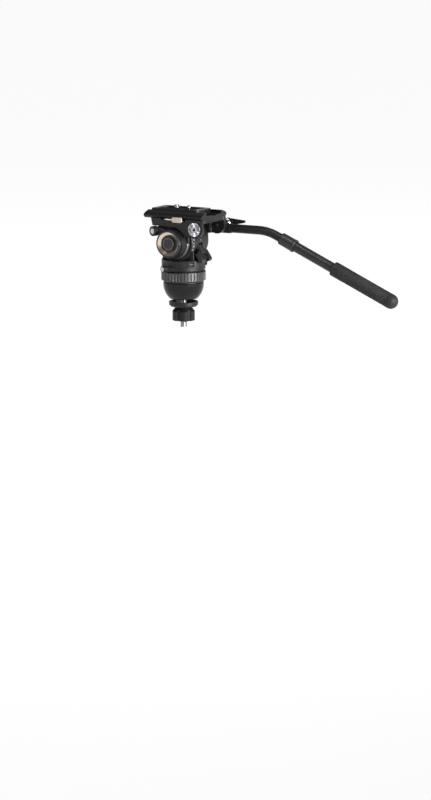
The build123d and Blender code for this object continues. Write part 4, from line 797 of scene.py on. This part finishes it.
def toothed_silver(name, centre):
    """Bright milled teeth: the valleys between them are painted darker as shade, and faint cutter rings cross
    them.
    """
    finish = Finish(bpy.data.materials.new(name))
    place = object_place(finish)
    distance, angle, _ = frame_round(finish, place, centre, left, upward)
    valley = ((angle * rosette_teeth).sine() * 0.5 + 0.5).between(0.25, 0.9)
    toothed = distance.between(*tooth_start)
    stains = noise(finish, place, rosette_stain_size, 3.0)
    rings = (distance * (2 * math.pi / cutter_pitch)).sine()
    tone = finish.mix(stains.between(0.3, 0.7), silver, silver_dark)
    # Painted shade: the valleys between the teeth are darkened.
    tone = finish.mix(valley * toothed * valley_shade_share, tone, grey(valley_shade_level))
    rounded = rounded_edges(finish, tooth_edge)
    finish.shader("Principled BSDF", Base_Color=tone, Metallic=1.0, Roughness=0.34 + (stains - 0.5) * 0.15,
                  Normal=bumped(finish, rings, 0.003 * mm, rounded))
    return finish


rosette_centre = (45.5 * mm, 49 * mm, 107 * mm)
dress(toothed_silver("toothed_silver", rosette_centre), "rosette_left", "rosette_right")


# Platform and its screws. A long extrusion with dovetail rails, milled at the corners and
# anodised black, screwed down on the carriage.
rail_black = coated("rail_black", 0.006, 0.28, specular=0.2, grain=0.2 * mm, grain_depth=0.003 * mm,
                    edge=0.6 * mm, wear=0.7)
dress(rail_black, "platform")
dress(black_screw, "platform_screws")


# Plate lock. A bright steel lever in a slot under the platform, a champagne tab on its end and a
# steel jaw that bites the plate.
tab_champagne = bare_steel("tab_champagne", 0.46, 0.36, drawn=(1, 12, 1), warmth=0.14)
bright_steel = bare_steel("bright_steel", 0.74, 0.26, drawn=(1, 20, 1))
dress(bright_steel, "plate_lock_lever")
dress(tab_champagne, "plate_lock_tab")
dress(plain_steel, "plate_clamp_jaw")


# Camera plate with its pads and screws. A milled plate with a long slot, two strips of ribbed
# rubber glued on it, and one 1/4 and one 3/8 inch screw whose flat heads run under the slot.
plate_top = 139.2 * mm
pad_proud = 0.6 * mm
pad_inner, pad_outer = 7.9 * mm, 20.9 * mm
pad_front, pad_rear = -40 * mm, 34 * mm
pad_ridge, pad_ridge_rise = 1.85 * mm, 0.5
pad_corner, pad_shoulder = 2.4 * mm, 0.97
pad_section = np.array([[-1, -0.6], [-1, 0.25], [-0.985, 0.42], [-0.95, 0.5], [0.95, 0.5], [0.985, 0.42],
                        [1, 0.25], [1, -0.6]])


def pad_rows(side):
    """Rubber strip whose top rises and falls as a cosine, once per ridge. Its ends are rounded: within
    a corner's length of an end, the strip narrows as a quarter circle does."""
    ridges = round((pad_rear - pad_front) / pad_ridge)
    along = np.linspace(pad_front, pad_rear, ridges * 8 + 1)[:, None]
    into_corner = np.clip(pad_corner - np.minimum(along - pad_front, pad_rear - along), 0, pad_corner)
    narrowing = pad_corner - np.sqrt(pad_corner ** 2 - into_corner ** 2)
    middle, half = (pad_inner + pad_outer) / 2, (pad_outer - pad_inner) / 2 - narrowing
    wave = 0.5 - 0.5 * np.cos(2 * np.pi * (along - pad_front) / (pad_rear - pad_front) * ridges)
    on_top = np.abs(pad_section[None, :, 0]) < pad_shoulder
    lift = (pad_section[None, :, 1] + pad_ridge_rise * wave * on_top) * pad_proud
    across = side * (middle + half * pad_section[None, :, 0])
    return np.stack([across, along * np.ones_like(across), plate_top + lift], axis=-1)


ribbed_rubber = coated("ribbed_rubber", 0.008, 0.6, specular=0.16, grain=0.3 * mm, grain_depth=0.01 * mm,
                       wear=0.15)
dress(rail_black, "camera_plate")
for side, sign in (("left", 1), ("right", -1)):
    pad = skin("plate_pad", pad_rows(sign))
    place_piece(f"plate_pad_{side}", pad, "plate", ribbed_rubber, crease=50,
                replaces=("plate_pads",))
pin_steel = bare_steel("pin_steel", 0.6, 0.28)
screw_top = plate_top + 5.5 * mm
head_bottom, head_top, head_radius, head_edge = 131.7 * mm, 135.1 * mm, 8.5 * mm, 0.3 * mm
neck_top, thread_bottom = 139.0 * mm, 139.1 * mm
neck_share, tip_shares, tip_edge = 0.8, (0.72, 0.6), 0.05 * mm
head_centre = 0.6 * mm


def camera_screw(name, node, body, radius, pitch, y):
    """Camera screw: a disc head under the plate, a neck through its slot and a rolled thread above,
    whose rings are turned about the screw's own axis."""
    turns = np.linspace(0, 2 * np.pi, 48, endpoint=False)[None, :]
    ones = np.ones_like(turns)
    profile = np.array([
        [head_centre, head_bottom], [head_radius - head_edge, head_bottom],
        [head_radius, head_bottom + head_edge], [head_radius, head_top - head_edge],
        [head_radius - head_edge, head_top], [radius * neck_share, head_top],
        [radius * neck_share, neck_top]])
    foot = turned_rows(profile[:, :1] * ones, profile[:, 1:] * ones, turns)
    threaded = thread_rows(
        radius, pitch / 2, pitch, thread_bottom, screw_top - head_edge, columns=48, steps=12)
    tip = turned_rows(radius * np.array(tip_shares)[:, None] * ones,
                      np.array([[screw_top - tip_edge], [screw_top]]) * ones, turns)
    grid = np.concatenate([foot, threaded, tip]) + np.array([0, y, 0])
    place_piece(name, skin(name, grid), body, pin_steel, crease=50, replaces=(node,))


inch = 25.4 * mm
camera_screw("quarter_inch_screw", "camera_screw_small", "screw_small",
             radius=inch / 8, pitch=inch / 20, y=12 * mm)
camera_screw("three_eighths_screw", "camera_screw_large", "screw_large",
             radius=inch * 3 / 16, pitch=inch / 16, y=-14 * mm)


# Pan bar, fixed end. A toothed disc and coated hub clamp to the right cheek, and a drawn
# aluminium bar with long grooves leaves the hub, bends down and ends in the lock collar.
bar_rosette_centre = (-49 * mm, 49 * mm, 107 * mm)
bar_black = coated("bar_black", 0.005, 0.34, specular=0.3, grain=0.25 * mm, grain_depth=0.003 * mm,
                   edge=0.4 * mm, wear=0.4)
dress(toothed_silver("bar_toothed_silver", bar_rosette_centre), "bar_rosette")
dress(lever_black, "bar_hub")
dress(bar_black, "bar_arm")


# Clamp bolt, spring and lever. A steel bolt through the cheek, a bright coil spring that pushes
# the hub off the teeth when the moulded lever is slack.
spring_bright = bare_steel("spring_bright", 0.78, 0.2, drawn=(1, 1, 1))
# The bolt is given the dark black-oxide finish so that the gaps between the spring's turns read dark, as
# painted shade.
dress(black_screw, "clamp_bolt")
dress(spring_bright, "clamp_spring")
dress(moulded_black, "clamp_lever")


# Extension tube, lock collar and grip. The tube slides on the bar's inner end, the moulded collar
# pinches it, and the grip is a ribbed rubber sleeve with a round end.
bar_bend = np.array([-57.3, 144.8, 99.6]) * mm
bar_drop = math.radians(24)
bar_line = np.array([0, math.cos(bar_drop), -math.sin(bar_drop)])
bar_up = np.array([0, math.sin(bar_drop), math.cos(bar_drop)])
bar_side = np.array([1.0, 0, 0])
grip_start, grip_length, grip_radius = 146.5 * mm, 138.95 * mm, 13.5 * mm
tube_radius = 9.3 * mm
hidden_length, lip_radius = 10 * mm, 1.6 * mm
grip_ribs, rib_rows, grip_rib_depth, rib_sharpness = 34, 10, 0.5 * mm, 0.8
band_start, band_end = grip_start + 0.2 * grip_length, grip_start + 0.86 * grip_length
dome_share = 0.97


def about_bar(radii, along, turns):
    """Rings about the sloping part of the bar, at a distance along it from its bend."""
    ring = np.cos(turns)[..., None] * bar_side + np.sin(turns)[..., None] * bar_up
    return bar_bend + along[..., None] * bar_line + radii[..., None] * ring


def grip_rows():
    """Sleeve turned about the bar: a rolled lip, a ribbed band whose radius falls and rises as a power
    of a cosine, and a half-round end. It starts inside, on the tube's skin, where nothing shows."""
    lip_turn = np.linspace(0, np.pi / 2, 7)
    lip_r = grip_radius - lip_radius * (1 - np.sin(lip_turn))
    lip_t = grip_start + lip_radius * (1 - np.cos(lip_turn))
    band_t = np.linspace(band_start, band_end, grip_ribs * rib_rows)
    phase = (band_t - band_start) / (band_end - band_start) * grip_ribs
    band_r = grip_radius - grip_rib_depth * (0.5 - 0.5 * np.cos(2 * np.pi * phase)) ** rib_sharpness
    dome_turn = np.linspace(0, np.pi / 2 * dome_share, 22)
    dome_t = grip_start + grip_length - grip_radius + grip_radius * np.sin(dome_turn)
    dome_r = grip_radius * np.cos(dome_turn)
    radii = np.concatenate([[tube_radius, tube_radius], lip_r, band_r, dome_r])
    along = np.concatenate([[grip_start + hidden_length, grip_start], lip_t, band_t, dome_t])
    turns = np.linspace(0, 2 * np.pi, 72, endpoint=False)[None, :]
    ones = np.ones_like(turns)
    return about_bar(radii[:, None] * ones, along[:, None] * ones, turns * np.ones_like(radii)[:, None])


grip_rubber = coated("grip_rubber", 0.013, 0.6, specular=0.18, grain=0.4 * mm, grain_depth=0.018 * mm,
                     wear=0.2)
tube_black = coated("tube_black", 0.009, 0.42, specular=0.34, grain=0.25 * mm, grain_depth=0.003 * mm)
dress(tube_black, "extension_tube")
collar_plastic = coated("collar_plastic", 0.009, 0.44, specular=0.45, grain=0.6 * mm,
                        grain_depth=0.01 * mm, wear=0.2)
dress(collar_plastic, "lock_collar")
place_piece("grip_sleeve", skin("grip_sleeve", grip_rows()), "extension", grip_rubber,
            crease=50, replaces=("grip",))
